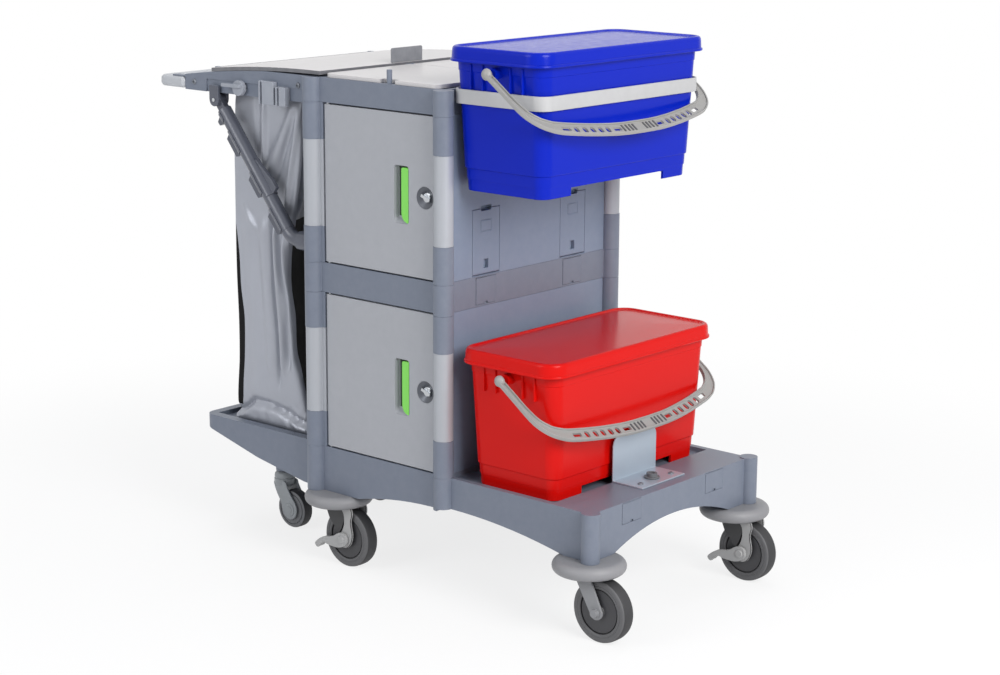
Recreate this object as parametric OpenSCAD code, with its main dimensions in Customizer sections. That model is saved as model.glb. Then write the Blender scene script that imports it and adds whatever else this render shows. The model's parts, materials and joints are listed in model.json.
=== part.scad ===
// Janitor cart: a two-door cabinet on four light pillars, a hanging waste bag
// under a lidded frame with a push bar, two lidded buckets at the other end,
// and six swivel casters. Millimetres, +Z up, the cart runs along X and the
// doors face -Y. The origin is on the floor under the middle of the cart.

/* [Cabinet] */
// Pillar centres along the cart
pillar_pitch_x = 358; // [340:1:400]
// Pillar centres across the cart
pillar_pitch_y = 524; // [510:1:560]
// Height of one cabinet module between two frames
module_h = 328; // [310:1:350]
// Height of the frame between the two modules
mid_h = 62; // [56:1:70]
// Height of the top frame
top_h = 50; // [46:1:60]
// Pillar tube diameter
tube_d = 39; // [36:0.5:40]
// Height of a pillar collar
collar_h = 75; // [60:1:90]
// Cabinet panel thickness
panel_t = 14; // [12:0.5:16]
// Door thickness
door_t = 16; // [14:0.5:18]

/* [Base] */
// From the bucket-end pillars to the bucket-end face
base_reach = 375; // [350:1:400]
// From the bag-end pillars to the end of the bag tray
bag_reach = 353; // [340:1:370]
// Height of the lower edge of the base skirts
skirt_z = 158; // [152:1:166]
// Height of the top of the base rim
base_top = 254; // [246:1:262]
// Depth of the bucket deck below the rim
deck_drop = 10; // [6:1:14]
// Wall thickness of the base skirts
wall = 14; // [12:0.5:16]

/* [Casters] */
// Main wheel diameter
wheel_d = 125; // [115:1:126]
// Main tyre width
tyre_w = 32; // [28:1:34]
// Trail of a main caster
trail = 36; // [34:1:44]
// Bumper disc diameter
disc_d = 144; // [136:1:150]
// Bumper disc height
disc_h = 27; // [25:0.5:28]
// Small wheel diameter under the bag tray
small_d = 85; // [75:1:90]
// Trail of a small caster
small_trail = 33; // [28:1:36]

/* [Buckets] */
// Bucket width at the bottom, along the cart
bucket_x = 210; // [200:1:216]
// Bucket length at the bottom, across the cart
bucket_y = 464; // [446:1:470]
// Body height to the rim
bucket_h = 273; // [262:1:284]
// Widening of each long side from bottom to rim
taper_x = 8; // [4:0.5:10]
// Widening of each short side from bottom to rim
taper_y = 16; // [10:0.5:17]
// Gap between a hanging bail and the band round the upper bucket
bail_gap = 3; // [1:0.5:6]
// Angle of a hanging bail below the horizontal
bail_rest = 36; // [32:1:40]

/* [Bag frame] */
// From the bag-end pillars to the outer edge of the push bar
handle_reach = 470; // [455:1:485]
// Push bar thickness
grip_t = 24; // [20:1:26]
// Brace tube diameter
brace_d = 30; // [26:0.5:32]
// Radius of the arched bag lid
lid_r = 2720; // [2500:10:3000]
// Bag lid thickness
lid_t = 8; // [6:0.5:9]

/* [Fits] */
// Running clearance on the radius of pins and axles
run = 0.05; // [0.03:0.01:0.08]
// Seating gap between curved faces
seat = 0.3; // [0.2:0.05:0.4]

/* [Hidden] */
$fn = 96;
big_fn = 720;
frame_col = [0.49, 0.51, 0.56];
door_col = [0.64, 0.65, 0.67];
light_col = [0.72, 0.73, 0.74];
lid_col = [0.87, 0.86, 0.85];
dark_col = [0.25, 0.26, 0.28];
steel_col = [0.6, 0.62, 0.65];
red_col = [0.85, 0.13, 0.1];
blue_col = [0.09, 0.16, 0.75];
green_col = [0.5, 0.83, 0.35];
bag_col = [0.59, 0.6, 0.64];

// Caster places and the cart's own middle along X
wheel_r = wheel_d / 2;
front_cx = base_reach - 20;
xf = (pillar_pitch_x + handle_reach - front_cx - trail - wheel_r) / 2;
xr = xf - pillar_pitch_x;
yp = pillar_pitch_y / 2;
xe = xf + base_reach;
xb = xr - bag_reach;
cy = yp - 22;
caster_x = [xf + front_cx, xr + tube_d + 3];
small_x = xb + 0.34 * bag_reach;
small_in = 127;
hood_h = 39;
small_y = yp - small_in;

// Levels
deck_z = base_top - deck_drop;
deck_t = 14;
mid_z0 = base_top + module_h;
mid_z1 = mid_z0 + mid_h;
top_z0 = mid_z1 + module_h;
top_z1 = top_z0 + top_h;
hub_z = skirt_z + 28;
collar_d = tube_d + 2;
collar_r = collar_d / 2;
tube_wall = 2;
tube_in = tube_d - 2 * tube_wall;
spigot_l = 30;
tenon_d = 28;
tenon_l = 22;
fin_t = 10;
door_gap = 3;

// Doors and locks
door_x0 = xr + collar_r + 9.5;
door_x1 = xf - collar_r - 1.5;
door_y0 = -yp;
hinge_x = door_x0 + door_t / 2;
hinge_y = door_y0 + door_t / 2;
lock_x = door_x1 - 27;
lock_r = 9;
wing_l = 24;
wing_a = 112;
recess_x = door_x1 - 90.5;
recess_half = [19.5, 57];
recess_deep = 11;
plate_x = door_x1 - 80.5;
plate_half = [8.5, 46];
plate_t = 7;
pin_d = 8;

// Bag frame
arm_t = 18;
strip_in = 3;
strip_h = 27;
arm_z0 = top_z0 - 6;
lid_top = top_z1 + 12;
lid_cz = lid_top - lid_r;
bar_x0 = xr - handle_reach;
bar_x1 = bar_x0 + 85;
bar_round = 24;
grip_w = 30;
bar_z0 = top_z0 - 4;
rail_x0 = bar_x0 + 168;
rail_end = 40;
rail_len = xr - rail_end - rail_x0;
wide_clip_w = 44;
wide_clip_h = 48;
slim_clip_w = 29;
slim_clip_h = 39;
knob_x = rail_x0 + 92;
knob_z = top_z0 + 10;
lid_hx = rail_x0 - 11;
lid_hz = lid_cz + sqrt(pow(lid_r - lid_t / 2, 2) - pow(lid_hx - xr, 2));
lid_x1 = xr + 22;
ear_y = yp - 36;

// Brace from the pillar collar to the bag frame
brace_y = yp - 9;
brace_z = mid_z1 + 35;
brace_r = 45;
eye_u = handle_reach - 231;
eye_z = arm_z0 - 15;
eye_v = eye_z - brace_z;
brace_s = xr - 50;
brace_len = sqrt(eye_u * eye_u + pow(eye_v - brace_r, 2) - brace_r * brace_r);
fin_l = 55;
end_fin_l = 20;
back_fin_l = 85;
fin_out = 15;
fin_slope = 6;
fin_w = 10;
fin_wrap = 170;
back_wrap = 150;
brace_far = sqrt(eye_u * eye_u + pow(eye_v - brace_r, 2));
brace_a = atan2(eye_v - brace_r, eye_u) + asin(brace_r / brace_far);

// Buckets
red_x = xf + 45 + bucket_x / 2 + taper_x;
red_z = deck_z;
hoop_h = 28;
hoop_t = 4;
hoop_off = 5;
hoop_rise = bucket_h - 75;
blue_z = top_z1 + 4 - hoop_rise;
body_w = 3;
foot_h = 45;
pivot_h = bucket_h - 39;
lid_hx2 = bucket_x / 2 + taper_x + 13;
lid_hy2 = bucket_y / 2 + taper_y + 18;
skirt_h = 22;
bail_t = 8;
bail_in = lid_hy2 + 4;
bail_round = 52;
lid_round = 45;
bail_w = 10;
grip_h = 26;
hang_x = bucket_x / 2 + taper_x * hoop_rise / bucket_h + 2;
hang_y = bucket_y / 2 + taper_y * hoop_rise / bucket_h + 1.5;
blue_x = xf + hoop_off + hoop_t + hang_x;
bail_near = hang_x + hoop_t + bail_gap + bail_t / 2 * sin(bail_rest);
bail_reach = bail_near / cos(bail_rest) + grip_h;

// Hook flaps in the end panel
flap_w = 80;
flap_h = 128;
flap_t = 8;
flap_y = 136;
flap_z = mid_z1 + 6.5;

// Top lids
tl_x0 = xr + 31;
tl_x1 = xf - 20;
tl_y = 6;
tl_t = 8;
peg_x = xf - 150;

module bar(x0, x1, y0, y1, z0, z1) {
  translate([x0, y0, z0]) cube([x1 - x0, y1 - y0, z1 - z0]);
}

module sides() {
  children();
  mirror([0, 1, 0]) children();
}

module round_rect(hx, hy, r) {
  square([2 * hx, 2 * hy - 2 * r], center = true);
  square([2 * hx - 2 * r, 2 * hy], center = true);
  for (sx = [-1, 1]) for (sy = [-1, 1]) translate([sx * (hx - r), sy * (hy - r)]) circle(r);
}

module slab(x, y, z, hx, hy, h, r) {
  translate([x, y, z]) linear_extrude(h) round_rect(hx, hy, r);
}

module along_y(x, z, d, y0, y1) {
  translate([x, y0, z]) rotate([-90, 0, 0]) cylinder(d = d, h = y1 - y0, $fn = d > 400 ? big_fn : $fn);
}

module along_x(y, z, d, x0, x1) {
  translate([x0, y, z]) rotate([0, 90, 0]) cylinder(d = d, h = x1 - x0, $fn = d > 400 ? big_fn : $fn);
}

module at_pillars() {
  for (x = [xr, xf]) for (y = [-yp, yp]) translate([x, y, 0]) children();
}

module at_casters() {
  for (x = caster_x) for (y = [-cy, cy]) translate([x, y, 0]) children();
}

// Base: moulded tray with deck, skirts, arched edges, corner posts and bosses
module base_frame() {
  arch_rise = 38;
  arch_half = 190;
  arch_r = (arch_half * arch_half + arch_rise * arch_rise) / (2 * arch_rise);
  front_run = base_reach - 87;
  front_rise = 32;
  front_r = (front_run * front_run + front_rise * front_rise) / (2 * front_rise);
  back_run = pillar_pitch_x - 143;
  back_rise = 26;
  back_r = (back_run * back_run + back_rise * back_rise) / (2 * back_rise);
  color(frame_col) difference() {
    union() {
      bar(xr - 18, xe - 1, -yp + 1, yp - 1, deck_z - deck_t, deck_z);
      bar(xr - 18, xe, -yp, -yp + wall, skirt_z, base_top);
      bar(xr - 18, xe, yp - wall, yp, skirt_z, base_top);
      bar(xe - wall, xe, -yp + 1, yp - 1, skirt_z, base_top);
      bar(xf - panel_t, xf, -yp + 1, yp - 1, deck_z - 1, base_top);
      bar(xr, xr + panel_t, -yp + 1, yp - 1, deck_z - 1, base_top);
      bar(red_x + bucket_x / 2 + 12, xe - 1, -yp + 1, yp - 1, deck_z - 1, base_top);
      bag_tray();
      for (y = [-yp, yp]) {
        translate([xr, y, skirt_z]) cylinder(d = collar_d, h = base_top - skirt_z);
        translate([xf, y, hub_z]) cylinder(d = collar_d, h = base_top - hub_z);
        translate([xe - 2, y * (1 - 2 / yp), skirt_z]) cylinder(d = 37, h = base_top + 2 - skirt_z);
      }
      at_casters() translate([0, 0, skirt_z]) cylinder(d = 40, h = deck_z - deck_t + 1 - skirt_z);
      for (y = [-small_y, small_y])
        translate([small_x, y, small_d + 40]) cylinder(d = 38, h = base_top - 12 - small_d - 40);
    }
    along_x(0, skirt_z + arch_rise - arch_r, 2 * arch_r, xe - wall - 1, xe + 1);
    intersection() {
      along_y(xf + 22, skirt_z + front_rise - front_r, 2 * front_r, -yp - 30, yp + 30);
      bar(xf - 1, xf + 22 + front_run, -yp - 31, yp + 31, 0, deck_z);
    }
    intersection() {
      along_y(xf - 22, skirt_z + back_rise - back_r, 2 * back_r, -yp - 30, yp + 30);
      bar(xf - 22 - back_run, xf + 1, -yp - 31, yp + 31, 0, deck_z);
    }
    at_pillars() translate([0, 0, base_top - tenon_l - 2]) cylinder(d = tenon_d + 2 * run, h = tenon_l + 3);
    at_casters() translate([0, 0, skirt_z - 1]) cylinder(d = 20 + 2 * run, h = 53);
    for (y = [-small_y, small_y]) translate([small_x, y, small_d]) cylinder(d = 12 + 2 * run, h = 81);
    for (y = [-flap_y, flap_y]) bar(xe - 3, xe + 1, y - 30, y + 30, base_top - 44, base_top - 2);
    slab(red_x, 0, deck_z + 0.2, bucket_x / 2 + 4, bucket_y / 2 + 4, deck_drop + 20, 26);
    translate([hinge_x, hinge_y, base_top - 12]) cylinder(d = pin_d + 2 * run, h = 14);
  }
}

// Bag tray at the push-bar end, rising towards its free end
module bag_tray() {
  tray_z = base_top + 4;
  x_in = xr - 10;
  half = yp - 3;
  difference() {
    intersection() {
      translate([0, half, 0]) rotate([90, 0, 0]) linear_extrude(2 * half)
        polygon([[x_in, skirt_z + 2], [xb + 310, skirt_z + 4], [xb + 166, skirt_z + 30], [xb, tray_z - 27],
          [xb, tray_z], [x_in, tray_z]]);
      slab((xb + x_in + 60) / 2, 0, skirt_z - 1, (x_in + 60 - xb) / 2, half, tray_z + 2 - skirt_z, 25);
    }
    bar(xb + 22, xr - 24, -half + 22, half - 22, tray_z - 10, tray_z + 1);
    bar(xb + 14, xr - 19, -half + 12, half - 12, 0, tray_z - 18);
    sides() translate([xr, yp, base_top - 0.5]) cylinder(d = collar_d + 2 * seat, h = 10);
  }
}

// Plain collar seat, with the hinge strip on the door pillar
module pillar_shape(d, near_rear) {
  circle(d = d);
  if (near_rear) square([collar_r + 8.5, fin_t]);
}

// Eight light tubes, two to a pillar
module pillar_tubes() {
  tube_h = module_h - 2 * collar_h;
  color(light_col) for (z = [base_top, mid_z1]) for (x = [xr, xf]) for (y = [-yp, yp])
    translate([x, y, z + collar_h])
    difference() {
      union() {
        linear_extrude(tube_h) pillar_shape(tube_d, x == xr && y < 0);
        if (x == xf && y < 0) bar(-collar_r - 15.5, -4, door_t + 1, collar_r - 0.5, 0, tube_h);
      }
      translate([0, 0, -1]) cylinder(d = tube_in, h = tube_h + 2);
    }
}

// Sixteen collars, each with a spigot for the tube and a tenon for the frame
module pillar_connectors() {
  color(frame_col) for (z = [base_top, mid_z1]) for (x = [xr, xf]) for (y = [-yp, yp]) translate([x, y, z]) {
    collar(x == xr && y < 0, x == xr && z == mid_z1 ? sign(y) : 0);
    translate([0, 0, module_h]) mirror([0, 0, 1]) collar(x == xr && y < 0, 0);
  }
}

module collar(near_rear, socket) {
  difference() {
    union() {
      linear_extrude(collar_h) pillar_shape(collar_d, near_rear);
      translate([0, 0, -tenon_l]) cylinder(d = tenon_d, h = tenon_l + 1);
      translate([0, 0, collar_h - 1]) cylinder(d = tube_in - 2 * run, h = spigot_l + 1);
      if (socket != 0) along_x(-9 * socket, brace_z - mid_z1, brace_d + 10, -48, -4);
    }
    translate([0, 0, -tenon_l - 1]) cylinder(d = 20, h = collar_h + spigot_l + tenon_l + 2);
    if (socket != 0) along_x(-9 * socket, brace_z - mid_z1, brace_d + 2 * run, -49, -24);
  }
}

// Frame and shelf between the two modules
module mid_frame() {
  color(frame_col) difference() {
    union() {
      bar(xr, xf, -yp, yp, mid_z0, mid_z1);
      at_pillars() translate([0, 0, mid_z0]) cylinder(d = collar_d, h = mid_h);
    }
    bar(xr + wall, xf - wall, -yp + wall, yp - wall, mid_z0 - 1, mid_z1 - 6);
    at_pillars() translate([0, 0, mid_z0 - 1]) cylinder(d = tenon_d + 2 * run, h = mid_h + 2);
    for (y = [-flap_y, flap_y]) bar(xf - 3, xf + 1, y - 30, y + 30, mid_z0 + 4, mid_z1 - 3);
    translate([hinge_x, hinge_y, mid_z0 - 1]) cylinder(d = pin_d + 2 * run, h = mid_h + 2);
  }
}

// Top frame with two shallow trays and the middle rib that carries the lids
module top_frame() {
  color(frame_col) difference() {
    union() {
      bar(xr, xf, -yp, yp, top_z0, top_z1);
      at_pillars() translate([0, 0, top_z0]) cylinder(d = collar_d, h = top_h);
      for (x = [xr + 23.5, xf - 19]) bar(x, x + 6, -12, 12, top_z1 - 2, top_z1 + tl_t);
      for (y = [-1, 1]) translate([peg_x, y * (yp - 8), top_z1 - 1]) cylinder(d = 11, h = 29);
    }
    sides() bar(xr + wall, xf - wall, 12, yp - 18, top_z0 + 5, top_z1 + 1);
    at_pillars() translate([0, 0, top_z0 - 1]) cylinder(d = tenon_d + 2 * run, h = tenon_l + 3);
    sides() along_x(tl_y, top_z1 + tl_t / 2, 4 + 2 * run, xr + 20, xf);
    translate([hinge_x, hinge_y, top_z0 - 1]) cylinder(d = pin_d + 2 * run, h = 13);
  }
}

// Bucket-end panels: the upper one has two pockets for the hook flaps
module end_panels() {
  half = yp - collar_r - seat;
  color(frame_col) {
    bar(xf - panel_t, xf, -half, half, base_top, mid_z0);
    difference() {
      bar(xf - panel_t, xf, -half, half, mid_z1, top_z0);
      for (y = [-flap_y, flap_y]) {
        bar(xf - flap_t - 0.6, xf + 1, y - flap_w / 2 - 1, y + flap_w / 2 + 1,
          flap_z - flap_t / 2 - 0.8, flap_z + flap_h + 1);
        along_y(xf - flap_t / 2, flap_z, 4 + 2 * run, y - flap_w / 2 - 9, y + flap_w / 2 + 9);
        bar(xf - flap_t - 3, xf + 1, y - 16, y + 16, flap_z + flap_h - 4, flap_z + flap_h + 6);
      }
    }
  }
}

// Closed panels on the side away from the doors
module back_panels() {
  color(frame_col) for (z = [base_top, mid_z1])
    bar(xr + collar_r + seat, xf - collar_r - seat, yp - panel_t, yp, z, z + module_h);
}

// Panels between the cabinet and the bag
module inner_panels() {
  half = yp - collar_r - seat;
  color(frame_col) for (z = [base_top, mid_z1]) bar(xr, xr + panel_t, -half, half, z, z + module_h);
}

// Square snap-in covers over the accessory sockets
module accessory_covers() {
  color(frame_col) for (y = [-flap_y, flap_y]) {
    cover(xf, y, mid_z0 + 4, mid_z1 - 3);
    cover(xe, y, base_top - 44, base_top - 2);
  }
}

module cover(x, y, z0, z1) {
  difference() {
    bar(x - 3, x + 0.6, y - 29.4, y + 29.4, z0 + 0.6, z1 - 0.6);
    bar(x - 4, x + 1, y - 5, y + 5, z0, z0 + 5);
  }
}

// Door leaf with grip recess and lock dish, round along the hinge edge
module door(z0, z1) {
  zm = (z0 + z1) / 2;
  difference() {
    union() {
      bar(hinge_x, door_x1, door_y0, door_y0 + door_t, z0, z1);
      translate([hinge_x, hinge_y, z0]) cylinder(d = door_t, h = z1 - z0);
    }
    for (z = [z0 - 1, z1 - 17]) translate([hinge_x, hinge_y, z]) cylinder(d = pin_d + 2 * run, h = 18);
    translate([recess_x, door_y0 + recess_deep, zm]) rotate([90, 0, 0]) linear_extrude(recess_deep + 1)
      round_rect(recess_half[0], recess_half[1], 6);
    along_y(lock_x, zm, 44, door_y0 - 1, door_y0 + 8);
    along_y(lock_x, zm, 2 * lock_r + 2 * run, door_y0, door_y0 + door_t + 1);
  }
}

module door_upper() {
  color(door_col) door(mid_z1 + door_gap, top_z0 - door_gap);
}

module door_lower() {
  color(door_col) door(base_top + door_gap, mid_z0 - door_gap);
}

// Green grip plate on the lock side of the recess
module door_grip(zm) {
  color(green_col) translate([plate_x, door_y0 + recess_deep, zm]) rotate([90, 0, 0]) linear_extrude(plate_t)
    round_rect(plate_half[0], plate_half[1], 3);
}

module door_grip_upper() {
  door_grip((mid_z1 + top_z0) / 2);
}

module door_grip_lower() {
  door_grip((base_top + mid_z0) / 2);
}

// Lock barrel with wing in front and cam behind; the cam stands up when free
module lock(zm) {
  color(steel_col) {
    along_y(lock_x, zm, 2 * lock_r, door_y0 + 5, door_y0 + door_t + 10);
    translate([lock_x, 0, zm]) rotate([0, wing_a, 0])
      bar(-3, 3, door_y0 + 0.5, door_y0 + 6, -wing_l / 2, wing_l / 2);
    bar(lock_x - 6, lock_x + 6, door_y0 + door_t + 7.5, door_y0 + door_t + 10.5,
      zm - 7, zm + xf - panel_t - lock_x - 1.5);
  }
}

module lock_upper() {
  lock((mid_z1 + top_z0) / 2);
}

module lock_lower() {
  lock((base_top + mid_z0) / 2);
}

// One of the two top lids, round along the hinge edge, notched for its peg
module top_lid() {
  y1 = yp - 4;
  r = 16;
  translate([0, 0, top_z1]) difference() {
    union() {
      linear_extrude(tl_t) difference() {
        union() {
          translate([tl_x0, tl_y]) square([tl_x1 - tl_x0, y1 - r - tl_y]);
          translate([tl_x0 + r, tl_y]) square([tl_x1 - tl_x0 - 2 * r, y1 - tl_y]);
          for (x = [tl_x0 + r, tl_x1 - r]) translate([x, y1 - r]) circle(r);
        }
        translate([peg_x - 22, yp - 20]) square([40, 30]);
      }
      along_x(tl_y, tl_t / 2, tl_t, tl_x0, tl_x1);
    }
    along_x(tl_y, tl_t / 2, 4 + 2 * run, tl_x0 - 1, tl_x0 + 16);
    along_x(tl_y, tl_t / 2, 4 + 2 * run, tl_x1 - 16, tl_x1 + 1);
  }
}

module top_lid_near() {
  color(lid_col) mirror([0, 1, 0]) top_lid();
}

module top_lid_far() {
  color(lid_col) top_lid();
}

// Fold-down hook flap with finger slot and hanging hole
module hook_flap(y) {
  x0 = xf - flap_t;
  color(frame_col) difference() {
    union() {
      bar(x0, xf, y - flap_w / 2, y + flap_w / 2, flap_z, flap_z + flap_h);
      along_y(xf - flap_t / 2, flap_z, flap_t, y - flap_w / 2, y + flap_w / 2);
    }
    along_y(xf - flap_t / 2, flap_z, 4 + 2 * run, y - flap_w / 2 - 1, y - flap_w / 2 + 9);
    along_y(xf - flap_t / 2, flap_z, 4 + 2 * run, y + flap_w / 2 - 9, y + flap_w / 2 + 1);
    bar(x0 - 1, xf + 1, y - 15, y + 15, flap_z + flap_h - 4, flap_z + flap_h + 1);
    bar(x0 - 1, xf + 1, y - 7, y + 7, flap_z + 8, flap_z + 26);
    difference() {
      bar(xf - 1, xf + 1, y - 17, y + 17, flap_z + 82, flap_z + 106);
      bar(xf - 2, xf + 2, y - 15, y + 15, flap_z + 84, flap_z + 104);
    }
  }
}

module hook_flap_near() {
  hook_flap(-flap_y);
}

module hook_flap_far() {
  hook_flap(flap_y);
}

// Flat band round the upper bucket, bolted to the top frame through two blocks
module bucket_hoop() {
  z0 = blue_z + hoop_rise - hoop_h;
  color(light_col) {
    difference() {
      slab(blue_x, 0, z0, hang_x + hoop_t, hang_y + hoop_t, hoop_h, 24 + hoop_t);
      slab(blue_x, 0, z0 - 1, hang_x, hang_y, hoop_h + 2, 24);
    }
    sides() bar(xf, blue_x - hang_x - 3, 110, 180, z0, top_z1 - 2);
  }
}

// Bent sheet stop in front of the lower bucket
module bucket_stop() {
  x0 = red_x + bucket_x / 2 + taper_x + 3;
  foot = 76;
  half = 70;
  color(steel_col) difference() {
    union() {
      translate([x0, 0, base_top]) rotate([90, 0, 90]) linear_extrude(3) {
        translate([-half, 0]) square([2 * half, 70]);
        translate([-half + 24, 0]) square([2 * half - 48, 94]);
        for (y = [-1, 1]) translate([y * (half - 24), 70]) circle(24);
      }
      translate([x0, -half, base_top]) cube([foot, 2 * half, 3]);
    }
    translate([x0 + 46, 0, base_top - 1]) cylinder(d = 22 + 2 * run, h = 6);
    for (y = [-50, 50]) translate([x0 + 56, y, base_top - 1]) cylinder(d = 6 + 2 * run, h = 6);
  }
}

// Flanged socket bush standing in the stop's foot
module stop_plug() {
  x0 = red_x + bucket_x / 2 + taper_x + 3;
  color(dark_col) translate([x0 + 46, 0, base_top]) difference() {
    union() {
      cylinder(d = 22, h = 14);
      translate([0, 0, 3]) cylinder(d = 32, h = 4);
    }
    translate([0, 0, -1]) cylinder(d = 12, h = 16);
  }
}

// Bucket body: tapered shell on a stepped foot, with pivot bosses and hanging ribs
module bucket(x, z) {
  bx = bucket_x / 2;
  by = bucket_y / 2;
  translate([x, 0, z]) difference() {
    union() {
      hull() {
        linear_extrude(0.5) bucket_plan(bx, by);
        translate([0, 0, bucket_h - 0.5]) linear_extrude(0.5) bucket_plan(bx + taper_x, by + taper_y);
      }
      sides() {
        along_y(0, pivot_h, 22, by + taper_y - 12, bail_in - 4);
        for (rx = [-64, -34, 34, 64])
          bar(rx - 2, rx + 2, by + taper_y - 12, hang_y + 5, hoop_rise + 0.1, bucket_h - skirt_h - 4);
      }
    }
    hull() {
      translate([0, 0, body_w + 14]) linear_extrude(0.5) bucket_plan(bx - body_w, by - body_w);
      translate([0, 0, bucket_h + 0.5]) linear_extrude(0.5)
        bucket_plan(bx + taper_x - body_w, by + taper_y - body_w);
    }
    bar(-bx - 9, bx + 9, -by + 86, by - 86, -1, 13);
    bar(-bx + body_w, bx - body_w, -by + body_w, by - body_w, -1, 13);
    sides() along_y(0, pivot_h, 10 + 2 * run, bail_in - 16, bail_in + 1);
  }
}

module bucket_plan(hx, hy) {
  for (sx = [-1, 1]) for (sy = [-1, 1]) translate([sx * (hx - 26), sy * (hy - 26)]) circle(26, $fn = 32);
}

module red_bucket() {
  color(red_col) bucket(red_x, red_z);
}

module blue_bucket() {
  color(blue_col) bucket(blue_x, blue_z);
}

// Bucket lid: plate with a deep skirt and a raised edge
module bucket_lid(x, z) {
  translate([x, 0, z + bucket_h - skirt_h]) difference() {
    slab(0, 0, 0, lid_hx2, lid_hy2, skirt_h + 7, lid_round);
    slab(0, 0, -1, lid_hx2 - 4, lid_hy2 - 4, skirt_h + 1, lid_round - 4);
    slab(0, 0, skirt_h + 5, lid_hx2 - 9, lid_hy2 - 9, 3, lid_round - 9);
  }
}

module red_lid() {
  color(red_col) bucket_lid(red_x, red_z);
}

module blue_lid() {
  color(blue_col) bucket_lid(blue_x, blue_z);
}

// Flat bail with slotted grip, eyes and pivot stubs, hanging at its rest angle
module bail(x, z) {
  out = bail_in + bail_w;
  ri = bail_round;
  ro = bail_round + bail_w;
  near_u = bail_reach - grip_h;
  color(light_col) translate([x, 0, z + pivot_h]) {
    rotate([0, bail_rest, 0]) translate([0, 0, -bail_t / 2]) linear_extrude(bail_t) difference() {
      union() {
        translate([0, -out]) square([bail_reach - ro, 2 * out]);
        translate([bail_reach - ro - 1, -out + ro]) square([ro + 1, 2 * out - 2 * ro]);
        for (y = [-1, 1]) translate([bail_reach - ro, y * (out - ro)]) circle(ro);
      }
      translate([-1, -bail_in]) square([near_u - ri + 1, 2 * bail_in]);
      translate([near_u - ri - 1, -bail_in + ri]) square([ri + 1, 2 * bail_in - 2 * ri]);
      for (y = [-1, 1]) translate([near_u - ri, y * (bail_in - ri)]) circle(ri);
      for (i = [-4:4]) translate([bail_reach - grip_h / 2, i * 36]) {
        square([9, 18], center = true);
        for (y = [-9, 9]) translate([0, y]) circle(4.5, $fn = 32);
      }
    }
    sides() {
      along_y(0, 0, 18, bail_in - 0.5, out + 1);
      along_y(0, 0, 10, bail_in - 14, bail_in + 1);
    }
  }
}

module red_bail() {
  bail(red_x, red_z);
}

module blue_bail() {
  bail(blue_x, blue_z);
}

// Bag frame: two arched arms, two cross members, bag rails, hinge ears and lugs
module bag_frame() {
  color(frame_col) difference() {
    union() {
      sides() {
        intersection() {
          bar(bar_x1, xr - collar_r - seat, yp - arm_t, yp, arm_z0, top_z1);
          along_y(xr, lid_cz, 2 * (lid_r - lid_t - 0.5), yp - arm_t - 1, yp + 1);
        }
        bar(bar_x1 - 40, bar_x1 + 6, yp - arm_t, yp, bar_z0 + grip_t, bar_z0 + grip_t + 3);
        bar(bar_x1 + 1, bar_x1 + 7, yp - arm_t + 1, yp - 1, arm_z0 + 1, bar_z0 + grip_t + 2.5);
        bar(rail_x0, xr - rail_end, yp - arm_t - 10, yp - arm_t + 1, arm_z0 + 8, arm_z0 + 14);
        for (y = [yp - arm_t - 6, yp - 0.5]) {
          bar(xr - eye_u - 64, xr - eye_u - 36, y, y + 6.5, eye_z, arm_z0 + 16);
          along_y(xr - eye_u - 50, eye_z, 27.6, y + 0.2, y + 6.3);
        }
        bar(lid_hx - 6, lid_hx + 6, ear_y, ear_y + 10, arm_z0 + 20, lid_hz + 5);
      }
      bar(rail_x0 - 38, rail_x0, -yp + arm_t - 1, yp - arm_t + 1, arm_z0 + 4, lid_hz - 9);
      bar(xr - rail_end, xr, -yp + collar_r + 3, yp - collar_r - 3, arm_z0 + 8, top_z1 - 4);
      sides() bar(xr - rail_end, xr - collar_r - seat, yp - arm_t - 10, yp - 1, arm_z0 + 8, top_z1 - 4);
    }
    along_y(lid_hx, lid_hz, 5 + 2 * run, -yp, yp);
    along_y(xr - eye_u - 50, eye_z, pin_d + 2 * run, -yp - 20, yp + 20);
    sides() along_y(knob_x, knob_z, pin_d + 2 * run, yp - 15, yp + 1);
    sides() bar(rail_x0 - 16, xr - 26, yp - strip_in, yp + 1, arm_z0 - 1, arm_z0 + strip_h);
  }
}

// U-shaped push bar
module push_bar() {
  half = yp + 6;
  color(light_col) translate([0, 0, bar_z0]) linear_extrude(grip_t) difference() {
    union() {
      translate([bar_x0 + bar_round, -half]) square([bar_x1 - bar_x0 - bar_round, 2 * half]);
      translate([bar_x0, -half + bar_round]) square([40, 2 * half - 2 * bar_round]);
      for (y = [-1, 1]) translate([bar_x0 + bar_round, y * (half - bar_round)]) circle(bar_round);
    }
    translate([bar_x0 + grip_w + 10, -half + grip_w]) square([100, 2 * half - 2 * grip_w]);
    translate([bar_x0 + grip_w, -half + grip_w + 10]) square([20, 2 * half - 2 * grip_w - 20]);
    for (y = [-1, 1]) translate([bar_x0 + grip_w + 10, y * (half - grip_w - 10)]) circle(10);
  }
}

// Place on a brace, measured along its straight from the bend
module on_brace(s, t) {
  translate([brace_s, s * brace_y, brace_z])
    translate([-brace_r * sin(brace_a), 0, brace_r * (1 - cos(brace_a))])
    rotate([0, brace_a - 90, 0]) translate([0, 0, t]) children();
}

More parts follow.
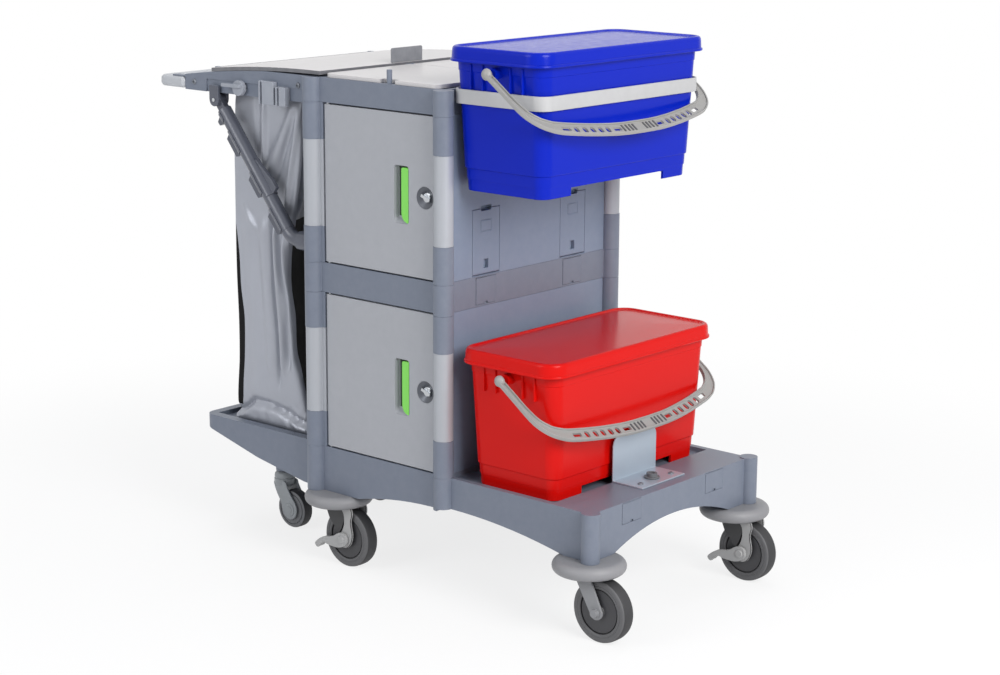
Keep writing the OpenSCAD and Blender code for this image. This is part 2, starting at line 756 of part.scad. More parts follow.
// Bent brace tubes with an eye at the top
module brace_tubes() {
  color(light_col) for (s = [-1, 1]) difference() {
    union() {
      along_x(s * brace_y, brace_z, brace_d, brace_s + seat / 2, xr - 25);
      translate([brace_s, s * brace_y, brace_z + brace_r]) rotate([90, 0, 0]) rotate([0, 0, 270 - brace_a])
        rotate_extrude(angle = brace_a) translate([brace_r, 0]) circle(d = brace_d);
      on_brace(s, seat / 2) cylinder(d = brace_d, h = brace_len - 26);
      on_brace(s, brace_len) bar(-10, 10, -7, 7, -40, 0);
      along_y(xr - eye_u - 50, eye_z, 26, s * brace_y - 8, s * brace_y + 8);
    }
    along_y(xr - eye_u - 50, eye_z, pin_d + 2 * run, s * brace_y - 20, s * brace_y + 20);
  }
}

// Tool clips snapped on the braces, each a saddle with a fin
module brace_clips() {
  color(dark_col) for (s = [-1, 1]) {
    for (t = [0.01, 0.29, 0.605]) on_brace(s, t * brace_len) brace_clip(fin_l, fin_wrap, fin_l - fin_slope);
    on_brace(s, 0.845 * brace_len) brace_clip(end_fin_l, fin_wrap, end_fin_l - fin_slope);
    on_brace(s, 0.25 * brace_len) rotate([0, 0, 180]) brace_clip(back_fin_l, back_wrap, back_fin_l / 4);
  }
}

// Length l, angle of the saddle, and length of the fin's full width
module brace_clip(l, wrap, full) {
  r = brace_d / 2 + run;
  rotate([0, 0, 180 - wrap / 2]) rotate_extrude(angle = wrap) translate([r, 0]) square([2, l]);
  translate([0, fin_w / 2, 0]) rotate([90, 0, 0]) linear_extrude(fin_w)
    polygon([[-r - 1, 0], [-r - fin_out, 4], [-r - fin_out, full], [-r - 1, l]]);
}

// Spring clips that pinch the bag to the arms: a wide one and a narrow one
module bag_clips() {
  color(dark_col) sides() {
    bag_clip(rail_x0 + 0.595 * rail_len, wide_clip_w, wide_clip_h);
    bag_clip(rail_x0 + 0.786 * rail_len, slim_clip_w, slim_clip_h);
  }
}

module bag_clip(x, w, h) {
  z0 = arm_z0 - 11;
  difference() {
    union() {
      bar(x, x + w, yp, yp + 12, z0, z0 + h);
      bar(x, x + w, yp - strip_in, yp + 1, arm_z0 + 1, arm_z0 + strip_h - seat);
    }
    bar(x + 4, x + 10, yp + 4, yp + 13, z0 - 1, z0 + h + 1);
  }
}

// Clamp knob with a threaded stub in the arm
module clamp_knob(s) {
  x = knob_x;
  z = knob_z;
  y0 = yp - strip_in + seat;
  color(dark_col) scale([1, s, 1]) {
    along_y(x, z, pin_d, yp - 12, y0 + 1);
    along_y(x, z, 20, y0, yp + 1);
    along_y(x, z, 32, yp + seat, yp + 11);
    bar(x - 44, x + 10, yp + 10, yp + 17, z + 1, z + 8);
  }
}

module clamp_knob_near() {
  clamp_knob(-1);
}

module clamp_knob_far() {
  clamp_knob(1);
}

// Hanging waste bag: closed skin with an open mouth and side flanges on the rails
module bag() {
  x0 = rail_x0 + 16;
  x1 = xr - rail_end - 4;
  xm = (x0 + x1) / 2;
  hx = (x1 - x0) / 2;
  z0 = base_top - 4;
  z1 = arm_z0 + 14;
  hy = yp - arm_t - 13;
  color(bag_col) difference() {
    union() {
      slab(xm, 0, z0, hx, hy, z1 + 2 - z0, 30);
      bar(x0 + 30, x1 - 30, -hy - 12, hy + 12, z1, z1 + 2);
    }
    slab(xm, 0, z0 + 2, hx - 2, hy - 2, z1 - z0 + 2, 28);
  }
}

// Arched bag lid, hinged beside the push bar
module bag_lid() {
  color(lid_col) difference() {
    union() {
      intersection() {
        difference() {
          along_y(xr, lid_cz, 2 * lid_r, -yp, yp);
          along_y(xr, lid_cz, 2 * (lid_r - lid_t), -yp - 1, yp + 1);
        }
        union() {
          bar(lid_hx + 12, lid_x1, -yp - 2, yp + 2, arm_z0, lid_top + 2);
          bar(lid_hx, lid_hx + 13, -ear_y + 1, ear_y - 1, arm_z0, lid_top + 2);
        }
      }
      along_y(lid_hx, lid_hz, lid_t, -ear_y + 1, ear_y - 1);
    }
    along_y(lid_hx, lid_hz, 5 + 2 * run, -ear_y, -ear_y + 16);
    along_y(lid_hx, lid_hz, 5 + 2 * run, ear_y - 16, ear_y);
  }
}

// Upright tab on the free edge of the bag lid
module lid_tab() {
  tab_x = xr + 14;
  tab_z = lid_cz + sqrt(lid_r * lid_r - 17 * 17) - 0.5;
  color(dark_col) difference() {
    translate([tab_x, 0, tab_z + 15]) rotate([90, 0, 90]) linear_extrude(3) round_rect(47, 16, 4);
    along_y(xr, lid_cz, 2 * (lid_r + 0.1), -60, 60);
  }
}

// Soft discs over the main casters
module bumper_discs() {
  r = disc_d / 2;
  color(light_col) at_casters() translate([0, 0, skirt_z - disc_h]) rotate_extrude() difference() {
    union() {
      translate([13, disc_h - 8]) square([r - 19, 8]);
      translate([r - 14, 0]) square([7, disc_h]);
      translate([r - 14, 7]) square([14, disc_h - 14]);
      translate([r - 7, 7]) circle(7);
      translate([r - 7, disc_h - 7]) circle(7);
    }
    translate([-1, -1]) square([2, disc_h + 2]);
  }
}

// King bolts in the base, the lower pins carry the forks
module caster_stems() {
  color(steel_col) {
    at_casters() {
      translate([0, 0, skirt_z - 9.8]) cylinder(d = 20, h = 60);
      translate([0, 0, wheel_d - 2]) cylinder(d = 14, h = skirt_z - 9 - wheel_d + 2);
      translate([0, 0, wheel_d - 3]) cylinder(d = 22, h = 3.5);
    }
    for (y = [-small_y, small_y]) translate([small_x, y, small_d + 12]) cylinder(d = 12, h = 68);
  }
}

// Main fork with its axle; y is the cart side
module main_fork(i, j) {
  z1 = skirt_z - 10;
  in = tyre_w / 2 + 3;
  color(light_col) translate([caster_x[i], j * cy, 0]) {
    difference() {
      union() {
        translate([0, 0, wheel_d + 1]) cylinder(d = 62, h = z1 - wheel_d - 1);
        sides() translate([0, in + 5, 0]) rotate([90, 0, 0]) linear_extrude(5) {
          polygon([[-13, z1 - 8], [21, z1 - 8], [21, wheel_d], [trail + 13, wheel_r + 5],
            [trail - 13, wheel_r - 5], [-13, wheel_d - 6]]);
          translate([trail, wheel_r]) circle(14);
        }
      }
      translate([0, 0, wheel_d - 10]) cylinder(d = 14 + 2 * run, h = z1 - wheel_d + 12);
      along_y(trail, wheel_r, 10 + 2 * run, -60, 60);
    }
    along_y(trail, wheel_r, 10, -in - 5, in + 5);
    along_y(trail, wheel_r, 16, in + 5, in + 13);
    along_y(trail, wheel_r, 16, -in - 13, -in - 5);
  }
}

module caster_fork_1() {
  main_fork(0, -1);
}

module caster_fork_2() {
  main_fork(0, 1);
}

module caster_fork_3() {
  main_fork(1, -1);
}

module caster_fork_4() {
  main_fork(1, 1);
}

// Wheel core: hub, dished web and rim
module wheel_core(i, j) {
  w = tyre_w / 2;
  color(dark_col) translate([caster_x[i] + trail, j * cy, wheel_r]) rotate([90, 0, 0]) rotate_extrude()
    polygon([[5 + run, -w - 2], [13, -w - 2], [17, -8], [wheel_r - 24, -8], [wheel_r - 20, -w + 2],
      [wheel_r - 14, -w + 2], [wheel_r - 14, w - 2], [wheel_r - 20, w - 2], [wheel_r - 24, 8],
      [17, 8], [13, w + 2], [5 + run, w + 2]]);
}

module caster_core_1() {
  wheel_core(0, -1);
}

module caster_core_2() {
  wheel_core(0, 1);
}

module caster_core_3() {
  wheel_core(1, -1);
}

module caster_core_4() {
  wheel_core(1, 1);
}

// Tyre with rounded shoulders
module wheel_tyre(i, j) {
  w = tyre_w / 2;
  color([0.3, 0.3, 0.31]) translate([caster_x[i] + trail, j * cy, wheel_r]) rotate([90, 0, 0]) rotate_extrude() {
    translate([wheel_r - 14, -w]) square([8, 2 * w]);
    translate([wheel_r - 7, -w + 6]) square([7, 2 * w - 12]);
    for (y = [-w + 6, w - 6]) translate([wheel_r - 6, y]) circle(6);
  }
}

module caster_tyre_1() {
  wheel_tyre(0, -1);
}

module caster_tyre_2() {
  wheel_tyre(0, 1);
}

module caster_tyre_3() {
  wheel_tyre(1, -1);
}

module caster_tyre_4() {
  wheel_tyre(1, 1);
}

// Brake pedal turning on the near axle head
module brake_lever(i, j) {
  y1 = -tyre_w / 2 - 8.4;
  color(light_col) translate([caster_x[i] + trail, j * cy, wheel_r]) rotate([0, -14, 0]) difference() {
    union() {
      along_y(0, 0, 27, y1 - 7.5, y1);
      bar(-66, 0, y1 - 7.5, y1, -8, 8);
      bar(-88, -62, y1 - 22, y1, -4, 4);
    }
    along_y(0, 0, 16 + 2 * run, y1 - 9, y1 + 1);
  }
}

module brake_lever_rear() {
  brake_lever(1, -1);
}

module brake_lever_front() {
  brake_lever(0, 1);
}

// Small hooded caster under the bag tray
module small_fork(j) {
  z1 = small_d + hood_h;
  color(light_col) translate([small_x, j * small_y, 0]) {
    difference() {
      union() {
        translate([0, 0, small_d + 12]) cylinder(d = 36, h = z1 - small_d - 12);
        sides() translate([0, 19, 0]) rotate([90, 0, 0]) linear_extrude(4) {
          polygon([[-12, z1 - 8], [14, z1 - 8], [small_trail + 11, small_d / 2 + 5],
            [small_trail - 11, small_d / 2 - 5]]);
          translate([small_trail, small_d / 2]) circle(12);
        }
        bar(-10, 13, -18, 18, small_d + 12, z1 - 10);
      }
      translate([0, 0, small_d - 10]) cylinder(d = 12 + 2 * run, h = 60);
      along_y(small_trail, small_d / 2, 8 + 2 * run, -60, 60);
    }
    along_y(small_trail, small_d / 2, 8, -19, 19);
    along_y(small_trail, small_d / 2, 14, 19, 22);
    along_y(small_trail, small_d / 2, 14, -22, -19);
  }
}

module small_fork_near() {
  small_fork(-1);
}

module small_fork_far() {
  small_fork(1);
}

module small_wheel(j) {
  r = small_d / 2;
  color(dark_col) translate([small_x + small_trail, j * small_y, r]) rotate([90, 0, 0]) rotate_extrude() {
    translate([4 + run, -13]) square([r - 9 - run, 26]);
    translate([r - 6, -8]) square([6, 16]);
    for (y = [-8, 8]) translate([r - 5, y]) circle(5);
  }
}

module small_wheel_near() {
  small_wheel(-1);
}

module small_wheel_far() {
  small_wheel(1);
}

// Hinge pins of doors, lids and flaps, and the brace bolts
module pivot_pins() {
  color(steel_col) {
    translate([hinge_x, hinge_y, base_top - 10]) cylinder(d = pin_d, h = 10 + door_gap + 14);
    translate([hinge_x, hinge_y, mid_z0 - door_gap - 14]) cylinder(d = pin_d, h = mid_h + 2 * door_gap + 28);
    translate([hinge_x, hinge_y, top_z0 - door_gap - 14]) cylinder(d = pin_d, h = 10 + door_gap + 14);
    sides() {
      along_x(tl_y, top_z1 + tl_t / 2, 4, xr + 23.5, tl_x0 + 14);
      along_x(tl_y, top_z1 + tl_t / 2, 4, tl_x1 - 14, xf - 13);
      along_y(xf - flap_t / 2, flap_z, 4, flap_y - flap_w / 2 - 8, flap_y - flap_w / 2 + 8);
      along_y(xf - flap_t / 2, flap_z, 4, flap_y + flap_w / 2 - 8, flap_y + flap_w / 2 + 8);
      along_y(lid_hx, lid_hz, 5, ear_y - 14, ear_y + 10);
      along_y(xr - eye_u - 50, eye_z, pin_d, yp - arm_t - 8, yp + 8);
    }
  }
}

// Button-head screws
module screws() {
  x0 = red_x + bucket_x / 2 + taper_x + 3;
  color(steel_col) {
    for (y = [-50, 50]) translate([x0 + 56, y, base_top]) {
      cylinder(d = 6, h = 4);
      translate([0, 0, 3]) cylinder(d = 12, h = 3);
    }
    sides() along_y(xr - 40, top_z1 - 22, 12, yp, yp + 3);
    sides() along_y(bar_x1 + 30, arm_z0 + 18, 12, yp, yp + 3);
  }
}

base_frame();
pillar_tubes();
pillar_connectors();
mid_frame();
top_frame();
end_panels();
back_panels();
inner_panels();
accessory_covers();
door_upper();
door_lower();
door_grip_upper();
door_grip_lower();
lock_upper();
lock_lower();
top_lid_near();
top_lid_far();
hook_flap_near();
hook_flap_far();
bucket_hoop();
bucket_stop();
stop_plug();
red_bucket();
red_lid();
red_bail();
blue_bucket();
blue_lid();
blue_bail();
bag_frame();
push_bar();
brace_tubes();
brace_clips();
bag_clips();
clamp_knob_near();
clamp_knob_far();
bag();
bag_lid();
lid_tab();
bumper_discs();
caster_stems();
caster_fork_1();
caster_fork_2();
caster_fork_3();
caster_fork_4();
caster_core_1();
caster_core_2();
caster_core_3();
caster_core_4();
caster_tyre_1();
caster_tyre_2();
caster_tyre_3();
caster_tyre_4();
brake_lever_rear();
brake_lever_front();
small_fork_near();
small_fork_far();
small_wheel_near();
small_wheel_far();
pivot_pins();
screws();
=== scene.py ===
import json
from math import cos, exp, pi, radians, sin, sqrt, tanh

import bmesh
import bpy
from mathutils import Matrix, Vector, noise


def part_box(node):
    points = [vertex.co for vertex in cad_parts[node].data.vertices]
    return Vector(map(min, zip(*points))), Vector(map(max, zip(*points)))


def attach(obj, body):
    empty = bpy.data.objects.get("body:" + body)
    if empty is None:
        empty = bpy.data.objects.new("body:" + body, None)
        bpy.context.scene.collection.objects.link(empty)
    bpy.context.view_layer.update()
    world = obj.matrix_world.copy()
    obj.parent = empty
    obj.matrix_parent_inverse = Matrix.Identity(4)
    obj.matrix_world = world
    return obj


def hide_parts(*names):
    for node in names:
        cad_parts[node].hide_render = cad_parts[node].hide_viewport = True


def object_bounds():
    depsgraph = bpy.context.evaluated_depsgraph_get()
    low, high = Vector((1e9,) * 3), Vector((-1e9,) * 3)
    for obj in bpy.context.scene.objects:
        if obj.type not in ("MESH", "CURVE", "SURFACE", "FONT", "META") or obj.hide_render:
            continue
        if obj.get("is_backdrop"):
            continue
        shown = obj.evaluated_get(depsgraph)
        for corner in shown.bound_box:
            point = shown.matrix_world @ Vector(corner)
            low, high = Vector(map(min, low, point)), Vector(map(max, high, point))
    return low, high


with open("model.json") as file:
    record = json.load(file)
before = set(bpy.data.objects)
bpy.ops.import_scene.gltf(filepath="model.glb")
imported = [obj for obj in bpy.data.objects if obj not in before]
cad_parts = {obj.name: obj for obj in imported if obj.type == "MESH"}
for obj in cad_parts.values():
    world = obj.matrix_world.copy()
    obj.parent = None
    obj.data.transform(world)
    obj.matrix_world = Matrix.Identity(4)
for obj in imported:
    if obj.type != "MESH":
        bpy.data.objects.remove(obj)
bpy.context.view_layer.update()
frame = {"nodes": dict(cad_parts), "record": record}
scene = bpy.context.scene
home = {node: body for body, nodes in frame["record"]["behaviour"]["bodies"].items() for node in nodes}


# Studio: a pale floor that fades into a white surround, lit by three soft lamps
# and an even sky. The camera stands where the photograph was taken, for a frame
# of 1000 by 675.
scene.view_settings.view_transform = "Standard"
frame_px, focal_px = 1000, 2194.9
eye = Vector((3.00795, -3.36358, 1.50265))
yaw, pitch, roll = (radians(a) for a in (130.770, 12.961, 0.341))
aim = Matrix.Rotation(yaw - pi / 2, 4, "Z") @ Matrix.Rotation(pi / 2 - pitch, 4, "X")


def placed(name, data):
    """A new object in the scene."""
    obj = bpy.data.objects.new(name, data)
    scene.collection.objects.link(obj)
    return obj


camera_data = bpy.data.cameras.new("camera")
camera_data.lens = focal_px / frame_px * camera_data.sensor_width
scene.camera = placed("camera", camera_data)
scene.camera.matrix_world = Matrix.Translation(eye) @ aim @ Matrix.Rotation(roll, 4, "Z")


def linear(rgb):
    """Scene colour of an sRGB triple in 0-255."""
    part = [c / 255 for c in rgb]
    return [c / 12.92 if c < 0.04045 else ((c + 0.055) / 1.055) ** 2.4 for c in part] + [1.0]


def set_inputs(node, **values):
    """Sets a node's inputs by their labels, with a low line for a space."""
    for label, value in values.items():
        node.inputs[label.replace("_", " ")].default_value = value


def feed(tree, socket, value):
    """Gives a socket a number, or the value of another socket."""
    if isinstance(value, (int, float)):
        socket.default_value = value
    else:
        tree.links.new(value, socket)


def maths(tree, operation, *values):
    """The result of a Math node on two sockets or numbers."""
    made = tree.nodes.new("ShaderNodeMath")
    made.operation = operation
    for socket, value in zip(made.inputs, values):
        feed(tree, socket, value)
    return made.outputs[0]


def seen_directly(tree):
    """A value of 1 on rays that see or mirror the surround, and 0 on those that light the cart."""
    path = tree.nodes.new("ShaderNodeLightPath")
    seen = path.outputs["Is Camera Ray"]
    for label in ("Is Glossy Ray", "Is Transmission Ray"):
        seen = maths(tree, "MAXIMUM", seen, path.outputs[label])
    return seen


def lamp(name, place, aim, size, watts, tint):
    """A soft round lamp, aimed at a point."""
    data = bpy.data.lights.new(name, "AREA")
    data.shape, data.size, data.energy, data.color = "DISK", size, watts, tint
    obj = placed(name, data)
    obj.location = place
    obj.rotation_euler = (Vector(aim) - Vector(place)).to_track_quat("-Z", "Y").to_euler()


lamp("key_lamp", (3.6, -0.9, 2.4), (0.1, 0.0, 0.6), 2.2, 138, (1.0, 0.99, 0.98))
lamp("door_lamp", (-1.2, -4.2, 2.6), (0.0, 0.0, 0.6), 2.6, 66, (0.97, 0.985, 1.0))
lamp("top_lamp", (-0.6, 0.8, 4.2), (0.0, 0.0, 0.5), 3.0, 52, (1.0, 1.0, 1.0))

world = bpy.data.worlds.new("studio")
scene.world = world
world.use_nodes = True
sky = world.node_tree
sky.nodes.clear()
sky_out = sky.nodes.new("ShaderNodeOutputWorld")
sky_mix = sky.nodes.new("ShaderNodeMixShader")
for socket, tone, strength in ((1, (0.92, 0.95, 1.0, 1), 0.34), (2, (1, 1, 1, 1), 1.0)):
    back = sky.nodes.new("ShaderNodeBackground")
    set_inputs(back, Color=tone, Strength=strength)
    sky.links.new(back.outputs[0], sky_mix.inputs[socket])
sky.links.new(seen_directly(sky), sky_mix.inputs[0])
sky.links.new(sky_mix.outputs[0], sky_out.inputs["Surface"])

floor_half, fade_from, fade_to, floor_glow = 9.0, 0.9, 2.1, 0.8
floor_mesh = bpy.data.meshes.new("floor")
floor_corners = ((-1, -1), (1, -1), (1, 1), (-1, 1))
floor_mesh.from_pydata([(x * floor_half, y * floor_half, 0) for x, y in floor_corners], [], [(0, 1, 2, 3)])
placed("floor", floor_mesh)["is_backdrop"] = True
floor_paint = bpy.data.materials.new("floor_paint")
floor_paint.use_nodes = True
paint = floor_paint.node_tree
paint.nodes.clear()
matt = paint.nodes.new("ShaderNodeBsdfDiffuse")
set_inputs(matt, Color=(0.93, 0.93, 0.93, 1))
glow = paint.nodes.new("ShaderNodeEmission")
reach = paint.nodes.new("ShaderNodeVectorMath")
reach.operation = "LENGTH"
paint.links.new(paint.nodes.new("ShaderNodeTexCoord").outputs["Object"], reach.inputs[0])
fade = paint.nodes.new("ShaderNodeMapRange")
fade.interpolation_type = "SMOOTHSTEP"
set_inputs(fade, From_Min=fade_from, From_Max=fade_to, To_Min=floor_glow, To_Max=1.0)
paint.links.new(reach.outputs["Value"], fade.inputs["Value"])
shown = maths(paint, "MULTIPLY", fade.outputs[0], seen_directly(paint))
blend_floor = paint.nodes.new("ShaderNodeMixShader")
for socket, value in zip(blend_floor.inputs, (shown, matt.outputs[0], glow.outputs[0])):
    paint.links.new(value, socket)
floor_out = paint.nodes.new("ShaderNodeOutputMaterial")
paint.links.new(blend_floor.outputs[0], floor_out.inputs["Surface"])
floor_mesh.materials.append(floor_paint)


# Base: one long blue-grey moulding with a bucket deck, arched skirts, corner
# posts and a tray for the bag. Its edges are softened as a moulding's are, and
# the fine grain of the tool shows on every face.
def surface_group(name, inputs):
    """A new shader group for a surface: its tree, its inputs and the place on the cart."""
    tree = bpy.data.node_groups.new(name, "ShaderNodeTree")
    for label, value in inputs.items():
        kind = "NodeSocketFloat" if isinstance(value, float) else "NodeSocketColor"
        tree.interface.new_socket(label, in_out="INPUT", socket_type=kind).default_value = value
    for label, kind in (("Colour", "Color"), ("Roughness", "Float"), ("Height", "Float")):
        tree.interface.new_socket(label, in_out="OUTPUT", socket_type=f"NodeSocket{kind}")
    place = tree.nodes.new("ShaderNodeTexCoord").outputs["Object"]
    return tree, tree.nodes.new("NodeGroupInput").outputs, place


def give_out(tree, **values):
    """Links a surface group's results to its outputs."""
    result = tree.nodes.new("NodeGroupOutput")
    for label, value in values.items():
        tree.links.new(value, result.inputs[label])


def texture_noise(tree, place, scale, detail, rough=0.55):
    """A noise texture; scale is a number or a socket."""
    made = tree.nodes.new("ShaderNodeTexNoise")
    tree.links.new(place, made.inputs["Vector"])
    set_inputs(made, Detail=detail, Roughness=rough)
    feed(tree, made.inputs["Scale"], scale)
    return made.outputs["Fac"]


def wandering(tree, value, noise_value, depth):
    """A value that a noise moves up and down."""
    moved = maths(tree, "MULTIPLY", maths(tree, "SUBTRACT", noise_value, 0.5), depth)
    return maths(tree, "ADD", value, moved)


def toned(tree, colour, noise_value, depth):
    """A colour made lighter and darker by a noise, to a depth."""
    made = tree.nodes.new("ShaderNodeVectorMath")
    made.operation = "SCALE"
    tree.links.new(colour, made.inputs[0])
    tree.links.new(wandering(tree, 1.0, noise_value, depth), made.inputs["Scale"])
    return made.outputs[0]


moulding, given, spot = surface_group("moulded_surface", {
    "Colour": (0.5, 0.5, 0.5, 1), "Cloudiness": 0.06, "Grain Scale": 900.0, "Gloss Loss": 0.4,
    "Edge Wear": 0.25})
clouds = texture_noise(moulding, spot, 5.0, 3.0)
scuffs = texture_noise(moulding, spot, 46.0, 4.0, 0.65)
edge = moulding.nodes.new("ShaderNodeAttribute")
edge.attribute_name = "edge"
rubbed = maths(moulding, "MULTIPLY", edge.outputs["Fac"], scuffs)
worn = maths(moulding, "MULTIPLY", rubbed, given["Edge Wear"])
lighter = moulding.nodes.new("ShaderNodeMix")
lighter.data_type = "RGBA"
moulding.links.new(worn, lighter.inputs["Factor"])
moulding.links.new(toned(moulding, given["Colour"], clouds, given["Cloudiness"]), lighter.inputs["A"])
lighter.inputs["B"].default_value = (0.75, 0.76, 0.78, 1)
give_out(moulding, Colour=lighter.outputs["Result"],
         Roughness=wandering(moulding, given["Gloss Loss"], scuffs, 0.16),
         Height=texture_noise(moulding, spot, given["Grain Scale"], 2.0))


def finish_of(name, slot, group, rgb, gloss_loss, values, relief, strength, sockets):
    """A material whose colour, roughness and relief come from a shared surface group."""
    made = bpy.data.materials.new(name)
    made.use_nodes = True
    made["slot"] = slot
    tree = made.node_tree
    shader = tree.nodes["Principled BSDF"]
    set_inputs(shader, **sockets)
    surface = tree.nodes.new("ShaderNodeGroup")
    surface.node_tree = group
    set_inputs(surface, Colour=linear(rgb), Gloss_Loss=gloss_loss, **values)
    tree.links.new(surface.outputs["Colour"], shader.inputs["Base Color"])
    tree.links.new(surface.outputs["Roughness"], shader.inputs["Roughness"])
    bump = tree.nodes.new("ShaderNodeBump")
    set_inputs(bump, Strength=strength, Distance=relief)
    tree.links.new(surface.outputs["Height"], bump.inputs["Height"])
    tree.links.new(bump.outputs["Normal"], shader.inputs["Normal"])
    return made


def moulded(name, slot, rgb, gloss_loss=0.42, cloudiness=0.07, grain=900.0, wear=0.2, strength=0.2,
            **sockets):
    """A finish for a moulded piece."""
    values = {"Cloudiness": cloudiness, "Grain Scale": grain, "Edge Wear": wear}
    return finish_of(name, slot, moulding, rgb, gloss_loss, values, 0.0002, strength, sockets)


def folded_area(bm):
    """The area, in square metres, of face corners that a rounding has folded over."""
    bm.normal_update()
    area = 0.0
    for a, b, c in bm.calc_loop_triangles():
        across = (b.vert.co - a.vert.co).cross(c.vert.co - a.vert.co)
        if across.dot(a.face.normal) < 0:
            area += across.length / 2
    return area


def welded(node):
    """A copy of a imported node, with its double points joined."""
    bm = bmesh.new()
    bm.from_mesh(frame["nodes"][node].data)
    bmesh.ops.remove_doubles(bm, verts=bm.verts, dist=1e-5)
    return bm


def softened(node, round_mm, steps):
    """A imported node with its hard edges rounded, as far as its narrow faces allow."""
    flat_deg, hard_deg, most_folded = 0.05, 32, 4e-6
    for share in (1.0, 0.75, 0.55, 0.4, 0.3, 0.2, 0.0):
        bm = welded(node)
        bmesh.ops.dissolve_limit(bm, angle_limit=radians(flat_deg), verts=bm.verts, edges=bm.edges)
        mark = bm.verts.layers.float.new("edge")
        if share == 0:
            break
        hard = [e for e in bm.edges if e.is_manifold and e.calc_face_angle() > radians(hard_deg)]
        made = bmesh.ops.bevel(bm, geom=hard, offset=share * round_mm / 1000, offset_type="OFFSET",
                               segments=steps, profile=0.5, affect="EDGES", clamp_overlap=False)
        for v in made["verts"]:
            v[mark] = 1.0
        if folded_area(bm) < most_folded:
            break
        bm.free()
    return bm


def as_object(name, bm):
    """A new object with a bmesh in it."""
    mesh = bpy.data.meshes.new(name)
    bm.to_mesh(mesh)
    bm.free()
    return placed(name, mesh)


def add_piece(name, bm, finishes, node, replaces=True, smooth_deg=38, even=True):
    """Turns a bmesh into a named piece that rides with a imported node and, if asked, stands for it."""
    finishes = finishes if isinstance(finishes, (list, tuple)) else [finishes]
    obj = as_object(name, bm)
    for finish in finishes:
        obj.data.materials.append(finish)
    obj.data.shade_smooth()
    obj.data.set_sharp_from_angle(angle=radians(smooth_deg))
    if even:
        obj.modifiers.new("even_shading", "WEIGHTED_NORMAL").keep_sharp = True
    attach(obj, home[node])
    if replaces:
        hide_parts(node)
    return obj


def dress(node, name, finishes, round_mm, steps=2, paint_faces=None):
    """The softened copy of one node, shown in its place."""
    bm = softened(node, round_mm, steps)
    if paint_faces:
        for face in bm.faces:
            face.material_index = paint_faces(face)
    add_piece(name, bm, finishes, node)


frame_finish = moulded("blue_grey_moulding", "frame_grey", (102, 110, 126), 0.42, wear=0.08)
dress("base_frame", "base_moulding", frame_finish, 0.9)


# Casters: soft bumper discs over the corners, turned dark wheels in grey tyres,
# forks with a dark housing and light legs, and two brake pedals; smaller hooded
# casters carry the bag tray.
def solid_boxes(node):
    """The low and high corners, in millimetres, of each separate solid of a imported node."""
    bm = welded(node)
    left, boxes = set(bm.verts), []
    while left:
        group, waiting = set(), [left.pop()]
        while waiting:
            v = waiting.pop()
            group.add(v)
            near = {e.other_vert(v) for e in v.link_edges} & left
            left -= near
            waiting += near
        boxes.append([Vector([pick(v.co[i] for v in group) * 1000 for i in range(3)]) for pick in (min, max)])
    bm.free()
    return sorted(boxes, key=lambda b: tuple(b[0] + b[1]))


def box_mm(node):
    """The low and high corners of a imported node, in millimetres."""
    return [Vector(corner) * 1000 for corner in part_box(node)]


def lathe(bm, centre, profile, axis="Y", steps=64):
    """Turns a closed profile of (radius, along) round an axis through a centre, in millimetres."""
    rows = []
    for k in range(steps):
        a = 2 * pi * k / steps
        ring = []
        for r, w in profile:
            u, v = r * cos(a), r * sin(a)
            from_centre = (u, w, v) if axis == "Y" else (u, v, w)
            ring.append(bm.verts.new((Vector(centre) + Vector(from_centre)) / 1000))
        rows.append(ring)
    for k, near in enumerate(rows):
        far = rows[(k + 1) % steps]
        for i in range(len(profile)):
            j = (i + 1) % len(profile)
            bm.faces.new((near[i], near[j], far[j], far[i]))
    bmesh.ops.remove_doubles(bm, verts=bm.verts, dist=1e-6)
    bmesh.ops.recalc_face_normals(bm, faces=bm.faces)


def both_sides(half):
    """Half a wheel's profile and its mirror image across the middle plane."""
    return half + [(r, -w) for r, w in reversed(half) if w]


def smooth_path(points, steps, closed=False):
    """Evenly spaced points on a smooth curve through given ones."""
    points = [Vector(p) for p in points]
    if closed:
        ends = [points[-1], *points, points[0], points[1]]
    else:
        ends = [points[0] * 2 - points[1], *points, points[-1] * 2 - points[-2]]
    path = []
    for a, b, c, d in zip(ends, ends[1:], ends[2:], ends[3:]):
        for k in range(steps):
            t = k / steps
            path.append((2 * b + (c - a) * t + (2 * a - 5 * b + 4 * c - d) * t ** 2
                         + (3 * b - a - 3 * c + d) * t ** 3) / 2)
    return path if closed else path + [points[-1]]


def plate(bm, centre, outline, y0, y1, round_mm=1.2, finish=0):
    """A flat plate with rounded edges; its outline lies in x and z about a centre, in millimetres."""
    near, far = ([bm.verts.new((centre + Vector((x, y, z))) / 1000) for x, z in outline]
                 for y in sorted((y0, y1)))
    made = [bm.faces.new(near), bm.faces.new(far[::-1])]
    rim = [e for face in made for e in face.edges]
    for i in range(len(outline)):
        j = (i + 1) % len(outline)
        made.append(bm.faces.new((near[j], near[i], far[i], far[j])))
    for face in made:
        face.material_index = finish
    bmesh.ops.recalc_face_normals(bm, faces=made)
    bmesh.ops.bevel(bm, geom=rim, offset=round_mm / 1000, segments=2, profile=0.5, affect="EDGES")


